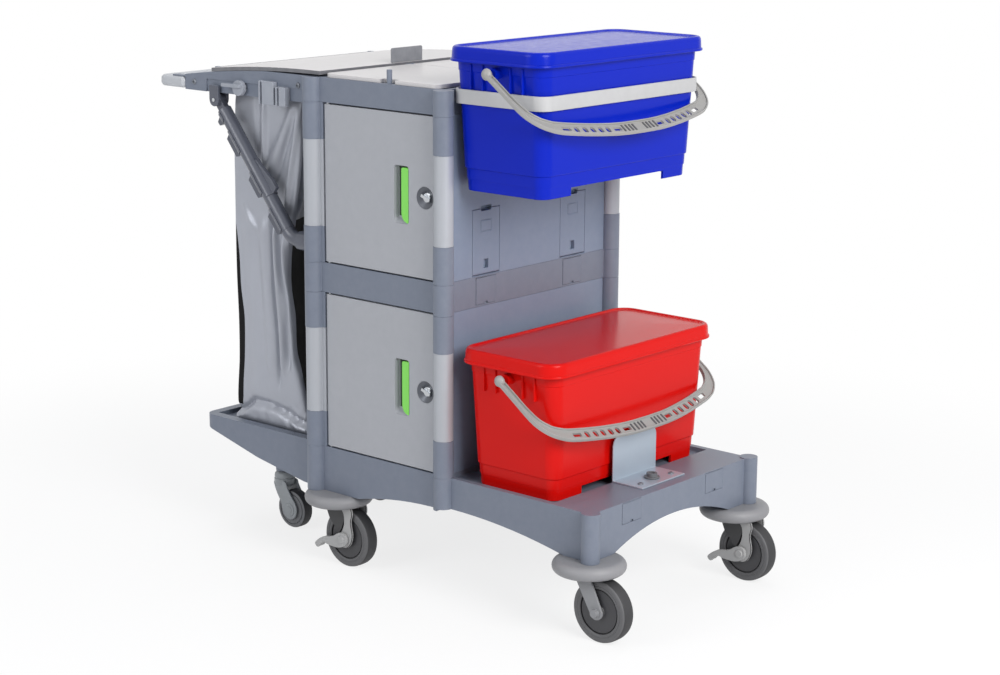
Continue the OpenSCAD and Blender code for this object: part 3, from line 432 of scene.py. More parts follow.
rubber_finish = moulded("bumper_rubber", "bumper", (134, 134, 137), 0.5, 0.08, 700.0)
housing_finish = moulded("fork_housing", "dark_plastic", (50, 50, 52), 0.5, wear=0.05)
fork_finish = moulded("fork_grey", "light_grey", (128, 129, 132), 0.5, wear=0.1)
pedal_finish = moulded("pedal_grey", "light_grey", (164, 164, 164), 0.48, wear=0.1)
core_finish = moulded("wheel_grey", "wheel_core", (56, 56, 59), 0.5)
wall_finish = moulded("tyre_wall_rubber", "tyre_grey", (90, 90, 92), 0.6, 0.1, 600.0)
# Painted shade: the tread colour is the tyre's grey darkened, for the shade on the tyre's rolling face and
# rim.
tread_painted_shade_finish = moulded("tyre_tread_painted_shade", "tyre_grey", (50, 50, 52), 0.65, 0.1, 600.0)
disc_round, disc_bore, disc_web, rim_steps = 13.5, 13.0, 8.0, 12
bm = bmesh.new()
for low, high in solid_boxes("bumper_discs"):
    wide, tall = (high.x - low.x) / 2, high.z - low.z
    rim = [(wide - disc_round + disc_round * sin(a), tall / 2 + tall / 2 * cos(a))
           for a in (pi * k / rim_steps for k in range(rim_steps + 1))]
    web = tall - disc_web
    under = [(wide - 15.5, 1.5), (wide - 16, web), (disc_bore, web), (disc_bore, tall)]
    lathe(bm, ((low.x + high.x) / 2, (low.y + high.y) / 2, low.z), rim + under, "Z")
add_piece("bumper_disc_set", bm, rubber_finish, "bumper_discs", smooth_deg=50)
steel_stub = moulded("stem_zinc", "steel", (150, 152, 156), 0.35, Metallic=0.7)
dress("caster_stems", "caster_stem_set", steel_stub, 0.6)

half_tyre = [(44.2, 11.5), (44.6, 14.2), (45.4, 15.2), (47, 15.8), (49.6, 16), (50.4, 15.3), (51.4, 15.3),
             (52.2, 16), (57, 16), (59.4, 15.3), (61.2, 13.4), (62.2, 9.5), (62.5, 0)]
half_core = [(5.1, 17.6), (12, 17.6), (13.4, 16.6), (14.2, 14.6), (15.2, 14.2), (30, 13.9), (41.0, 13.7),
             (42.2, 13.1), (42.7, 10.4), (44.1, 10.2)]
leg_line = smooth_path((
    (-5, 62), (-1, 55), (1, 44), (0, 30), (-6, 16), (-14, 8), (-17, -3), (-11, -15), (2, -20), (14, -15),
    (22, -3), (25, 13), (21.5, 30), (20.5, 42), (24, 55), (22, 67), (14, 72), (2, 71)), 3, True)
bridge_line = [(-55, 84), (-54, 65), (11, 65), (14, 84)]
cheek_line = [(-55, 84), (-52, 58), (-43, 38), (-28, 23), (-16, 8), (-8, 20), (0, 40), (8, 58), (12, 70),
              (14, 84)]
axle_line = [(0.01, -24.2), (5, -24.2), (5, 24.2), (9, 24.2), (9, 31), (8, 32), (0.01, 32)]
pedal_line = smooth_path((
    (2, -16), (-8, -19), (-17, -20), (-37, -19.5), (-51, -16.5), (-60, -22), (-69, -30.5), (-75, -29),
    (-78.5, -22.5), (-70, -14), (-60, -7.3), (-47, -2), (-31, 1), (-20, 6), (-12, 11.5), (0, 15), (11, 11),
    (15, 0), (11.5, -10)), 3, True)
pad_line = smooth_path(((-56, -17), (-64, -24), (-70, -30), (-75.5, -28), (-78, -22.5), (-70, -14),
                        (-60, -7.6), (-53, -8)), 3, True)
pivot_cap = [(0.01, -33.6), (7.4, -33.6), (8.4, -32.8), (8.8, -31.4), (0.01, -31.4)]
bridge_half, cheek_in, cheek_out, leg_in, leg_out, light_leg = 22.5, 17.9, 22.4, 18.8, 24.0, 17.5
braked = {2: "front", 3: "rear"}
for number in (1, 2, 3, 4):
    low, high = box_mm(f"caster_tyre_{number}")
    hub = (low + high) / 2
    bm = bmesh.new()
    lathe(bm, hub, both_sides(half_tyre), "Y", 96)
    bm.normal_update()
    for face in bm.faces:
        # Painted shade: faces round the tread, those not facing sideways, take the darkened tread colour.
        face.material_index = int(abs(face.normal.y) < 0.5)
    add_piece(f"caster_tread_{number}", bm, [wall_finish, tread_painted_shade_finish], f"caster_tyre_{number}")
    bm = bmesh.new()
    lathe(bm, hub, both_sides(half_core), "Y", 96)
    add_piece(f"caster_hub_{number}", bm, core_finish, f"caster_core_{number}")
    fork = f"caster_fork_{number}"
    if number not in braked:
        leg_y = (hub.y - light_leg) / 1000
        dress(fork, f"caster_leg_{number}", [housing_finish, fork_finish], 1.8, 3,
              lambda face: int(face.calc_center_median().y < leg_y))
        continue
    bm = bmesh.new()
    plate(bm, hub, bridge_line, -bridge_half, bridge_half, 1.5)
    for s in (-1, 1):
        plate(bm, hub, cheek_line, s * cheek_in, s * cheek_out, 0.8)
        plate(bm, hub, leg_line, s * leg_in, s * leg_out, 1.3, 1)
    lathe(bm, hub, axle_line)
    add_piece(f"caster_leg_{number}", bm, [housing_finish, pedal_finish], fork)
    bm = bmesh.new()
    plate(bm, hub, pedal_line, -31.9, -24.5, 1.8)
    plate(bm, hub, pad_line, -31.5, -11.0, 2.2)
    lathe(bm, hub, pivot_cap)
    add_piece(f"brake_pedal_{braked[number]}", bm, pedal_finish, f"brake_lever_{braked[number]}")

hood_line = [(6.3, 123.8), (12, 123.8), (18.5, 121.5), (21.5, 117), (22.4, 111), (21.0, 109.6), (21.0, 108.0),
             (22.8, 106.8), (23, 100), (21, 93), (17, 89), (6.3, 88.5)]
arm_line = smooth_path((
    (-47, 58), (-46, 46), (-38, 30), (-28, 14), (-23, 0), (-17, -15), (0, -22.5), (16, -16), (22.5, 0),
    (19, 14), (10, 26), (-1, 40), (-8, 52), (-12, 60), (-29, 63)), 3, True)
hood_finish = moulded("caster_hood_grey", "light_grey", (150, 154, 157), 0.45, wear=0.1)
disc_finish = moulded("tray_wheel_grey", "wheel_core", (108, 109, 112), 0.5)
half_small = [(4.3, 13.4), (24, 13.4), (30.5, 13.0), (32.4, 12.4), (32.8, 10.6), (34.4, 10.6), (34.8, 12.6),
              (38.6, 12.6), (40.8, 11.8), (42.2, 9.0), (42.5, 0)]
half_cap = [(0.01, 21.6), (7, 21.6), (8, 20.6), (14.5, 20.6), (15.5, 19.2), (0.01, 19.2)]
small_axle = [(0.01, -18), (4, -18), (4, 18), (0.01, 18)]
stem_back, arm_in, arm_out, tread_from = 33.0, 14.6, 19.4, 40
for place in ("near", "far"):
    low, high = box_mm(f"small_wheel_{place}")
    hub = (low + high) / 2
    wide = (high.y - low.y) / 2 / half_small[0][1]
    bm = bmesh.new()
    lathe(bm, (hub.x - stem_back, hub.y, 0), hood_line, "Z")
    for s in (-1, 1):
        plate(bm, hub, arm_line, s * arm_in, s * arm_out, 1.8)
        lathe(bm, hub, [(r, s * w) for r, w in half_cap])
    lathe(bm, hub, small_axle)
    add_piece(f"tray_caster_hood_{place}", bm, hood_finish, f"small_fork_{place}")
    bm = bmesh.new()
    lathe(bm, hub, both_sides([(r, w * wide) for r, w in half_small]), "Y", 96)
    for face in bm.faces:
        # Painted shade: the wheel's outer rim, beyond tread_from, takes the darkened tread colour.
        face.material_index = int((face.calc_center_median() * 1000 - hub).xz.length > tread_from)
    add_piece(f"tray_caster_wheel_{place}", bm, [disc_finish, tread_painted_shade_finish], f"small_wheel_{place}")


# Pillars: light anodised tubes with blue-grey collars above and below, pushed
# onto spigots. The pillar beside the door hinge carries a narrow strip.
brushed, given, spot = surface_group(
    "brushed_surface", {"Colour": (0.6, 0.6, 0.6, 1), "Streak Depth": 0.08, "Gloss Loss": 0.35})
stretch = brushed.nodes.new("ShaderNodeMapping")
set_inputs(stretch, Scale=(1.0, 1.0, 0.02))
brushed.links.new(spot, stretch.inputs["Vector"])
streaks = texture_noise(brushed, stretch.outputs[0], 1400.0, 2.0)
smears = texture_noise(brushed, spot, 14.0, 3.0)
give_out(brushed, Colour=toned(brushed, given["Colour"], streaks, given["Streak Depth"]),
         Roughness=wandering(brushed, given["Gloss Loss"], smears, 0.2), Height=streaks)


def brushed_finish(name, slot, rgb, gloss_loss, metal):
    """A finish for drawn or rolled metal."""
    sockets = {"Metallic": metal}
    return finish_of(name, slot, brushed, rgb, gloss_loss, {"Streak Depth": 0.1}, 0.00005, 0.25, sockets)


tube_finish = brushed_finish("anodised_tube", "light_grey", (165, 168, 174), 0.42, 0.2)
dress("pillar_tubes", "pillar_tube_set", tube_finish, 0.6)
brace_finish = moulded("brace_grey", "dark_plastic", (86, 89, 100), 0.24, 0.04, wear=0.0)
socket_gap = 0.003
socket_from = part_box("pillar_tubes")[0][0] - socket_gap
dress("pillar_connectors", "pillar_collar_set", [frame_finish, brace_finish], 0.8, 2,
      lambda face: int(face.calc_center_median().x < socket_from))


# Cabinet: two box frames and the panels between them, all blue-grey mouldings,
# with snap-in covers over the accessory sockets.
panel_finish = moulded("blue_grey_panel", "frame_grey", (112, 125, 146), 0.42, wear=0.08)
dress("mid_frame", "middle_frame_moulding", frame_finish, 1.5)
dress("top_frame", "top_frame_moulding", frame_finish, 1.5)
dress("end_panels", "bucket_end_panels", panel_finish, 0.8)
dress("back_panels", "back_panel_pair", frame_finish, 0.8)
dress("inner_panels", "bag_side_panels", frame_finish, 0.8)
dress("accessory_covers", "socket_cover_set", frame_finish, 0.8)


# Doors: light grey mouldings with a scooped grip, a green plate on its edge and
# a dished lock with a steel wing.
def rounded_outline(half_wide, half_tall, r, per_corner=6):
    """Points of a rounded rectangle about the origin."""
    points = []
    for k, (sx, sy) in enumerate(((1, 1), (-1, 1), (-1, -1), (1, -1))):
        for i in range(per_corner + 1):
            a = pi / 2 * (k + i / per_corner)
            points.append((sx * (half_wide - r) + r * cos(a), sy * (half_tall - r) + r * sin(a)))
    return points


def loft(bm, rings, cap_last=True):
    """Skins a list of rings with the same count of points, facing outward."""
    rows = [[bm.verts.new(p) for p in ring] for ring in rings]
    count = len(rows[0])
    for low, high in zip(rows, rows[1:]):
        for i in range(count):
            bm.faces.new((low[i], low[(i + 1) % count], high[(i + 1) % count], high[i]))
    bm.faces.new(rows[0][::-1])
    if cap_last:
        bm.faces.new(rows[-1])
    bmesh.ops.recalc_face_normals(bm, faces=bm.faces)


def smooth_step(a, b, t):
    """A smooth rise from 0 at a to 1 at b."""
    t = min(max((t - a) / (b - a), 0.0), 1.0)
    return t * t * (3 - 2 * t)


door_finish = moulded("light_grey_moulding", "door_grey", (156, 158, 164), 0.5, wear=0.12)
grip_finish = moulded("green_insert", "green_plastic", (126, 212, 88), 0.38, wear=0.1)
# Painted shade: the lock dish's grey metal is darkened to stand for the shade inside its hollow.
dish_painted_shade_finish = moulded("lock_dish_painted_shade", "dark_plastic", (90, 93, 100), 0.34, Metallic=0.4)
steel_finish = brushed_finish("bright_steel", "steel", (190, 193, 197), 0.3, 0.9)
# Painted shade: this dark green stands for the shade deep in the scoop beside the grip plate, painted onto
# the scoop's floor.
painted_shade_finish = moulded("grip_painted_shade_green", "green_plastic", (34, 52, 30), 0.6, wear=0.0)
recess_x, recess_half, recess_deep, steps_x, steps_z = -90.5, (19.3, 56.8), 10.6, 30, 44
wall_share, foot_share, foot_steps, brow_from, brow_share = 0.11, 0.13, 4, 0.97, 0.95
plate_line = [(-71.5, 54), (-86, 54), (-88.6, 53), (-89.6, 50), (-89.6, -36), (-88.9, -41.5), (-87.2, -46),
              (-84.5, -50), (-80.5, -53), (-76, -55), (-71.5, -56)]
plate_proud = 0.5
lock_in, dish_round, dish_deep = -27, 21.8, 7.8
dish_line = [(dish_round, 0.3), (dish_round, dish_deep + 0.2), (9.4, dish_deep + 0.2), (9.4, dish_deep - 0.3),
             (11, dish_deep - 0.9), (20.4, 0.9), (21, 0.4)]
for storey in ("upper", "lower"):
    door = f"door_{storey}"
    low, high = box_mm(door)
    middle = (low.z + high.z) / 2
    dress(door, f"door_leaf_{storey}", door_finish, 1.4)
    bm = bmesh.new()
    grid = []
    for i in range(steps_x + 1):
        column = []
        for k in range(steps_z + 1):
            x = -recess_half[0] + 2 * recess_half[0] * i / steps_x
            z = -recess_half[1] + 2 * recess_half[1] * k / steps_z
            fall = smooth_step(-0.02, wall_share, i / steps_x) * smooth_step(-0.01, foot_share, k / steps_z)
            fall *= 1 - brow_share * smooth_step(brow_from, 1.0, k / steps_z)
            spot = Vector((high.x + recess_x + x, low.y + recess_deep * fall + 0.1, middle + z))
            column.append(bm.verts.new(spot / 1000))
        grid.append(column)
    for i in range(steps_x):
        for k in range(steps_z):
            face = bm.faces.new((grid[i][k], grid[i + 1][k], grid[i + 1][k + 1], grid[i][k + 1]))
            # Painted shade: scoop faces right of the left wall and above the bottom rows take the dark green;
            # the rest stay door grey.
            face.material_index = int(i / steps_x > wall_share and k > foot_steps)
    back = bmesh.ops.extrude_face_region(bm, geom=list(bm.faces))
    for v in (g for g in back["geom"] if isinstance(g, bmesh.types.BMVert)):
        v.co.y = (low.y + recess_deep + 0.3) / 1000
    bmesh.ops.recalc_face_normals(bm, faces=bm.faces)
    add_piece(f"door_scoop_{storey}", bm, [door_finish, painted_shade_finish], door, False)

    bm = bmesh.new()
    plate(bm, Vector((high.x, low.y, middle)), plate_line, -plate_proud, recess_deep - 0.2, 0.6)
    add_piece(f"door_grip_plate_{storey}", bm, grip_finish, f"door_grip_{storey}")

    bm = bmesh.new()
    lathe(bm, (high.x + lock_in, low.y, middle), dish_line)
    add_piece(f"lock_dish_{storey}", bm, dish_painted_shade_finish, door, False)
    dress(f"lock_{storey}", f"door_lock_{storey}", steel_finish, 1.0)


# Top lids: two thin pale lids hinged on the middle rib, each notched round a
# mop peg.
lid_finish = moulded("pale_lid", "lid_pale", (202, 199, 199), 0.35, 0.04, wear=0.05)
for place in ("near", "far"):
    dress(f"top_lid_{place}", f"top_lid_panel_{place}", lid_finish, 1.5)


# Hook flaps: fold-down flaps let into the end panel, with a finger slot and a
# hanging hole.
for place in ("near", "far"):
    dress(f"hook_flap_{place}", f"hook_flap_leaf_{place}", panel_finish, 0.8)


# Bucket carriers: the flat light band that holds the upper bucket, the bent
# sheet stop in front of the lower one, and the socket bush in its foot.
band_finish = moulded("light_band", "light_grey", (174, 174, 175), 0.42)
sheet_finish = brushed_finish("zinc_sheet", "steel", (170, 181, 193), 0.38, 0.35)
dark_finish = moulded("dark_moulding", "dark_plastic", (62, 64, 70), 0.45)
dress("bucket_hoop", "upper_bucket_band", band_finish, 1.0)
dress("bucket_stop", "lower_bucket_stop", sheet_finish, 0.8)
dress("stop_plug", "stop_socket_bush", dark_finish, 1.0)


# Buckets: tapered glossy mouldings on a stepped foot, notched under the long
# sides, with ribs and pivot bosses below the rim on the short sides.
def rounded_ring(centre, half_x, half_y, r, z):
    """A rounded rectangle about a centre at a height, in metres from millimetres."""
    return [(Vector(centre) + Vector((x, y, z))) / 1000 for x, y in rounded_outline(half_x, half_y, r, 9)]


def box_at(bm, low, high):
    """A box from corner to corner, in millimetres."""
    for v in bmesh.ops.create_cube(bm, size=1.0)["verts"]:
        v.co = Vector([(low[i] + (high[i] - low[i]) * (v.co[i] + 0.5)) / 1000 for i in range(3)])


def evaluated(obj, *spent):
    """The evaluated mesh of a scratch object as a bmesh; the scratch objects are removed."""
    bpy.context.view_layer.update()
    solid = bpy.data.meshes.new_from_object(obj.evaluated_get(bpy.context.evaluated_depsgraph_get()))
    done = bmesh.new()
    done.from_mesh(solid)
    bpy.data.meshes.remove(solid)
    for scratch in (obj, *spent):
        mesh = scratch.data
        bpy.data.objects.remove(scratch)
        bpy.data.meshes.remove(mesh)
    return done


def cut_away(bm, cutter):
    """bm with the cutter's volume taken out of it."""
    body, tool = as_object("cut_body", bm), as_object("cut_tool", cutter)
    knife = body.modifiers.new("cut", "BOOLEAN")
    knife.operation, knife.object, knife.solver = "DIFFERENCE", tool, "EXACT"
    return evaluated(body, tool)


copy_tree = bpy.data.node_groups.new("copies_on_points", "GeometryNodeTree")
copy_inputs = {}
for label, kind in (("Places", "Geometry"), ("Shape", "Object"), ("Size", "Float"), ("Size Spread", "Float"),
                    ("Seed", "Int"), ("Finish", "Material")):
    socket = copy_tree.interface.new_socket(label, in_out="INPUT", socket_type=f"NodeSocket{kind}")
    copy_inputs[label] = socket.identifier
copy_tree.interface.new_socket("Copies", in_out="OUTPUT", socket_type="NodeSocketGeometry")
given, result = copy_tree.nodes.new("NodeGroupInput").outputs, copy_tree.nodes.new("NodeGroupOutput")
shape_in = copy_tree.nodes.new("GeometryNodeObjectInfo")
turn_in = copy_tree.nodes.new("GeometryNodeInputNamedAttribute")
turn_in.data_type = "FLOAT_VECTOR"
turn_in.inputs["Name"].default_value = "turn"
turn_as = copy_tree.nodes.new("FunctionNodeEulerToRotation")
size_in = copy_tree.nodes.new("FunctionNodeRandomValue")
put = copy_tree.nodes.new("GeometryNodeInstanceOnPoints")
real = copy_tree.nodes.new("GeometryNodeRealizeInstances")
coat = copy_tree.nodes.new("GeometryNodeSetMaterial")
least = maths(copy_tree, "SUBTRACT", given["Size"], given["Size Spread"])
most = maths(copy_tree, "ADD", given["Size"], given["Size Spread"])
size_sockets = [s for s in size_in.inputs if s.type == "VALUE"]
for a, b in ((given["Shape"], shape_in.inputs["Object"]), (given["Places"], put.inputs["Points"]),
             (shape_in.outputs["Geometry"], put.inputs["Instance"]),
             (turn_in.outputs["Attribute"], turn_as.inputs[0]), (turn_as.outputs[0], put.inputs["Rotation"]),
             (least, size_sockets[0]), (most, size_sockets[1]), (given["Seed"], size_in.inputs["Seed"]),
             (size_in.outputs[1], put.inputs["Scale"]), (put.outputs[0], real.inputs[0]),
             (real.outputs[0], coat.inputs["Geometry"]), (given["Finish"], coat.inputs["Material"]),
             (coat.outputs[0], result.inputs[0])):
    copy_tree.links.new(a, b)


def copies(name, places, shape, finish):
    """Copies of a small shape on (place in millimetres, turn) pairs, as one bmesh."""
    points = bpy.data.meshes.new(name)
    points.from_pydata([place / 1000 for place, turn in places], [], [])
    turns = points.attributes.new("turn", "FLOAT_VECTOR", "POINT")
    for row, (place, turn) in zip(turns.data, places):
        row.vector = turn.to_euler()
    shape_obj = as_object(f"{name}_shape", shape)
    holder = placed(name, points)
    setting = holder.modifiers.new("copies", "NODES")
    setting.node_group = copy_tree
    values = {"Shape": shape_obj, "Size": 1.0, "Size Spread": 0.0, "Seed": 7, "Finish": finish}
    for label, value in values.items():
        setting[copy_inputs[label]] = value
    return evaluated(holder, shape_obj)


bucket_half, bucket_taper, bucket_tall, bucket_round = (105, 232), (8, 16), 273, 28
foot_tall, foot_inset, notch_half, notch_tall, rim_from, skin = 45, 4.5, 146, 17, 232, 3.0


def bucket_body(x, z):
    """The hollow bucket on its stepped foot, notched under its long sides."""
    def ring(inset, height):
        share = height / bucket_tall
        half_x = bucket_half[0] + bucket_taper[0] * share - inset
        half_y = bucket_half[1] + bucket_taper[1] * share - inset
        return rounded_ring((x, 0, z), half_x, half_y, max(bucket_round - inset, 4), height)

    outer = [(foot_inset + 2, 0.3), (foot_inset + 0.4, 1.2), (foot_inset, 3), (foot_inset, foot_tall - 3),
             (foot_inset - 0.6, foot_tall - 1.2), (0.9, foot_tall), (0.2, foot_tall + 0.8),
             (0, foot_tall + 2.5), (0, rim_from), (-1.2, rim_from + 1), (-1.2, bucket_tall - 1)]
    inner = [(skin - 1, bucket_tall), (skin, bucket_tall - 1), (skin, 24), (skin + 4, 19), (skin + 12, 17.5)]
    under = [(foot_inset + 5, 16), (foot_inset + 5, 0.3)]
    bm = bmesh.new()
    loft(bm, [ring(i, h) for i, h in under + outer + inner])
    notch = bmesh.new()
    box_at(notch, (x - 160, -notch_half, z - 4), (x + 160, notch_half, z + notch_tall))
    return cut_away(bm, notch)


def glossy(name, slot, rgb):
    """A finish for a bucket and its lid."""
    return moulded(name, slot, rgb, 0.22, 0.04, wear=0.0, strength=0.05, Specular_IOR_Level=0.14)


bucket_finishes = {"red": glossy("red_moulding", "red_plastic", (204, 14, 9)),
                   "blue": glossy("blue_moulding", "blue_plastic", (4, 32, 172))}
bucket_places = {}
pivot_tall, boss_y, boss_round, boss_long = 234, 253, 0.0115, 0.022
rib_places, rib_size, rib_low = (-64, -34, 34, 64), (3.4, 9, 48), 199
upright_turn, boss_turn = Matrix.Identity(3), Matrix.Rotation(pi / 2, 4, "X")
for hue, finish in bucket_finishes.items():
    low, high = box_mm(f"{hue}_bucket")
    x, z = bucket_places[hue] = ((low.x + high.x) / 2, low.z)
    bm = bucket_body(x, z)
    for s in (-1, 1):
        boss = Matrix.Translation(Vector((x, s * boss_y, z + pivot_tall)) / 1000) @ boss_turn
        bmesh.ops.create_cone(bm, cap_ends=True, segments=32, radius1=boss_round, radius2=boss_round,
                              depth=boss_long, matrix=boss)
    add_piece(f"{hue}_bucket_shell", bm, finish, f"{hue}_bucket")
    rib = bmesh.new()
    box_at(rib, [-w / 2 for w in rib_size], [w / 2 for w in rib_size])
    bmesh.ops.bevel(rib, geom=list(rib.edges), offset=0.0008, segments=1, affect="EDGES")
    rib_y = bucket_half[1] + bucket_taper[1] * (rib_low / bucket_tall) + 2.5
    places = [(Vector((x + rib_x, s * rib_y, z + rib_low + rib_size[2] / 2)), upright_turn)
              for s in (-1, 1) for rib_x in rib_places]
    ribs = copies(f"{hue}_ribs", places, rib, finish)
    add_piece(f"{hue}_bucket_ribs", ribs, finish, f"{hue}_bucket", False)


# Bucket lids: pressed-on lids with a beaded skirt, a rounded rim and a slightly
# crowned plate.
lid_half, lid_round, lid_low = (126, 266), 45, 251
lid_profile = [(3.6, 0.2), (0.8, 0.2), (0, 1.2), (0, 3.6), (0.9, 5.0), (2.6, 6.0), (3.4, 20), (4.0, 24),
               (5.6, 27), (8, 28.7), (10.5, 29), (13, 28.2), (14.6, 26.6), (16, 25.6), (20, 25.4),
               (44, 26.2), (80, 27.0), (112, 27.4)]
lid_under = [(112, 22.5), (24, 22), (8, 21), (6.6, 18)]
for hue, (x, z) in bucket_places.items():
    bm = bmesh.new()
    loft(bm, [rounded_ring((x, 0, z + lid_low), lid_half[0] - i, lid_half[1] - i, max(lid_round - i, 3), h)
              for i, h in lid_under + lid_profile])
    add_piece(f"{hue}_bucket_cover", bm, bucket_finishes[hue], f"{hue}_lid")


# Bails: light grey swinging handles of channel section, moulded with a bowed and
# pierced grip, dark ribs under the fingers, and ball eyes that sit in the
# bucket's bosses.
bail_finish = moulded("bail_grey", "light_grey", (152, 151, 149), 0.45)
grip_bar_finish = moulded("grip_bar_dark", "dark_plastic", (74, 74, 78), 0.5)
bail_tilt, bail_wide, wide_from, wide_to = radians(36), (14.5, 29), 60, 200
eye_y, eye_round, eye_half = 276, 11.5, 8
half_path = smooth_path(((0, eye_y), (42, 276), (84, 276), (114, 272), (138, 258), (153, 238), (162, 215),
                         (173, 160), (181, 105), (185.5, 55), (186.5, 0)), 6)
bail_path = half_path + [Vector((p.x, -p.y)) for p in half_path[-2::-1]]
bail_along = Vector((cos(bail_tilt), 0, -sin(bail_tilt)))
bail_out = Vector((sin(bail_tilt), 0, cos(bail_tilt)))
bail_across = Vector((0, 1, 0))
oval, oval_places = (6, 8, 5.5), (94, 114, 135, 155, 177)
slit, slit_places = (11, 4.6, 2.2), (67, 202)
bar_half, bar_places = (2.3, 9.4, 2.2), (17, 27, 38, 50)


def in_bail(pivot, u, y, out):
    """A point in the cart from a place in the tilted bail's own plane."""
    return pivot + bail_along * u + bail_across * y + bail_out * out


def on_grip(pivot, y, out):
    """The place and turn of a small shape on the bail's middle line, at a distance across."""
    a, b = next(pair for pair in zip(half_path, half_path[1:]) if pair[1].y <= abs(y) <= pair[0].y)
    p = a.lerp(b, (a.y - abs(y)) / (a.y - b.y))
    heading = (b - a).normalized()
    flip = -1 if y < 0 else 1
    forward = bail_along * heading.x + bail_across * flip * heading.y
    turn = Matrix((forward, bail_out.cross(forward), bail_out)).transposed()
    return in_bail(pivot, p.x, flip * p.y, out), turn


for hue, (x, z) in bucket_places.items():
    pivot = Vector((x, 0, z + pivot_tall))
    bm = bmesh.new()
    rings, run = [], 0.0
    total = sum((b - a).length for a, b in zip(bail_path, bail_path[1:]))
    for k, p in enumerate(bail_path):
        back, ahead = bail_path[max(k - 1, 0)], bail_path[min(k + 1, len(bail_path) - 1)]
        run += (p - back).length
        widened = smooth_step(wide_from, wide_to, min(run, total - run))
        wide = bail_wide[0] + (bail_wide[1] - bail_wide[0]) * widened
        heading = (ahead - back).normalized()
        across = Vector((-heading.y, heading.x))
        edge = wide / 2
        right = [(edge - 0.8, -4), (edge, -3.2), (edge, 3.4), (edge - 0.7, 4.4), (edge - 2.0, 4.6),
                 (edge - 2.9, 3.8), (edge - 3.2, 1.0), (edge - 4.2, 0.2)]
        section = right + [(-v, out) for v, out in right[::-1]]
        rings.append([in_bail(pivot, p.x + across.x * v, p.y + across.y * v, out) / 1000
                      for v, out in section])
    loft(bm, rings)
    for size, spots in ((oval, oval_places), (slit, slit_places)):
        hole = bmesh.new()
        loft(hole, [[Vector((a, b, out)) / 1000 for a, b in rounded_outline(*size, 4)] for out in (-9, 9)])
        places = [on_grip(pivot, s * y, 0) for s in (-1, 1) for y in spots]
        bm = cut_away(bm, copies(f"{hue}_grip_holes", places, hole, bail_finish))
    ball = [(eye_round * sin(a), eye_half * cos(a)) for a in (pi * k / 12 for k in range(13))]
    for s in (-1, 1):
        lathe(bm, (x, s * eye_y, z + pivot_tall), [(max(r, 0.01), w) for r, w in ball], "Y", 32)
    add_piece(f"{hue}_bucket_bail", bm, bail_finish, f"{hue}_bail")
    bar = bmesh.new()
    loft(bar, [[Vector((a, b, out)) / 1000 for a, b in rounded_outline(*(half - i for half in bar_half), 3)]
               for i, out in ((0, -0.6), (0, 0.7), (0.6, 1.3))])
    places = [on_grip(pivot, s * y, 0.2) for s in (-1, 1) for y in bar_places]
    bars = copies(f"{hue}_bars", places, bar, grip_bar_finish)
    add_piece(f"{hue}_bail_grip_bars", bars, grip_bar_finish, f"{hue}_bail", False)


# Bag frame: two arched arms and their cross members, the light push bar round
# the end, and the bent braces with their tool clips.
push_finish = moulded("push_bar_grey", "light_grey", (176, 179, 184), 0.4)
clip_finish = moulded("clip_grey", "frame_grey", (140, 145, 156), 0.42)
lug_top = 0.966
dress("bag_frame", "bag_frame_moulding", [frame_finish, brace_finish], 1.6, 2,
      lambda face: int(face.calc_center_median().z < lug_top))
dress("push_bar", "push_bar_grip", push_finish, 8.0, 4)
dress("brace_tubes", "brace_tube_pair", brace_finish, 0.6)
dress("brace_clips", "brace_clip_set", brace_finish, 1.0)
dress("bag_clips", "bag_clip_set", clip_finish, 1.2)
for place in ("near", "far"):
    dress(f"clamp_knob_{place}", f"clamp_knob_wing_{place}", clip_finish, 1.6, 3)


# Waste bag: silver-grey coated cloth sewn to black end panels, hung from the
# rails by clips. It falls in slanting folds from the clips, is drawn in at the
# waist on the cabinet side, and rolls into a soft toe on the tray.
cloth, given, spot = surface_group("coated_cloth", {
    "Colour": (0.3, 0.3, 0.3, 1), "Thread Scale": 520.0, "Crinkle": 0.5, "Gloss Loss": 0.35})
creases = texture_noise(cloth, spot, 26.0, 5.0, 0.6)
weaves = []
for direction in ("X", "Z"):
    weave = cloth.nodes.new("ShaderNodeTexWave")
    weave.bands_direction = direction
    cloth.links.new(spot, weave.inputs["Vector"])
    cloth.links.new(given["Thread Scale"], weave.inputs["Scale"])
    weaves.append(weave.outputs["Fac"])
threads = maths(cloth, "MULTIPLY", maths(cloth, "MAXIMUM", *weaves), 0.015)
crinkled = maths(cloth, "MULTIPLY", creases, given["Crinkle"])
give_out(cloth, Colour=toned(cloth, given["Colour"], creases, 0.12),
         Roughness=wandering(cloth, given["Gloss Loss"], creases, 0.25),
         Height=maths(cloth, "ADD", crinkled, threads))


def cloth_finish(name, rgb, gloss_loss, **sockets):
    """A finish for one of the bag's cloths."""
    return finish_of(name, "bag_cloth", cloth, rgb, gloss_loss, {"Crinkle": 0.4}, 0.003, 0.22, sockets)


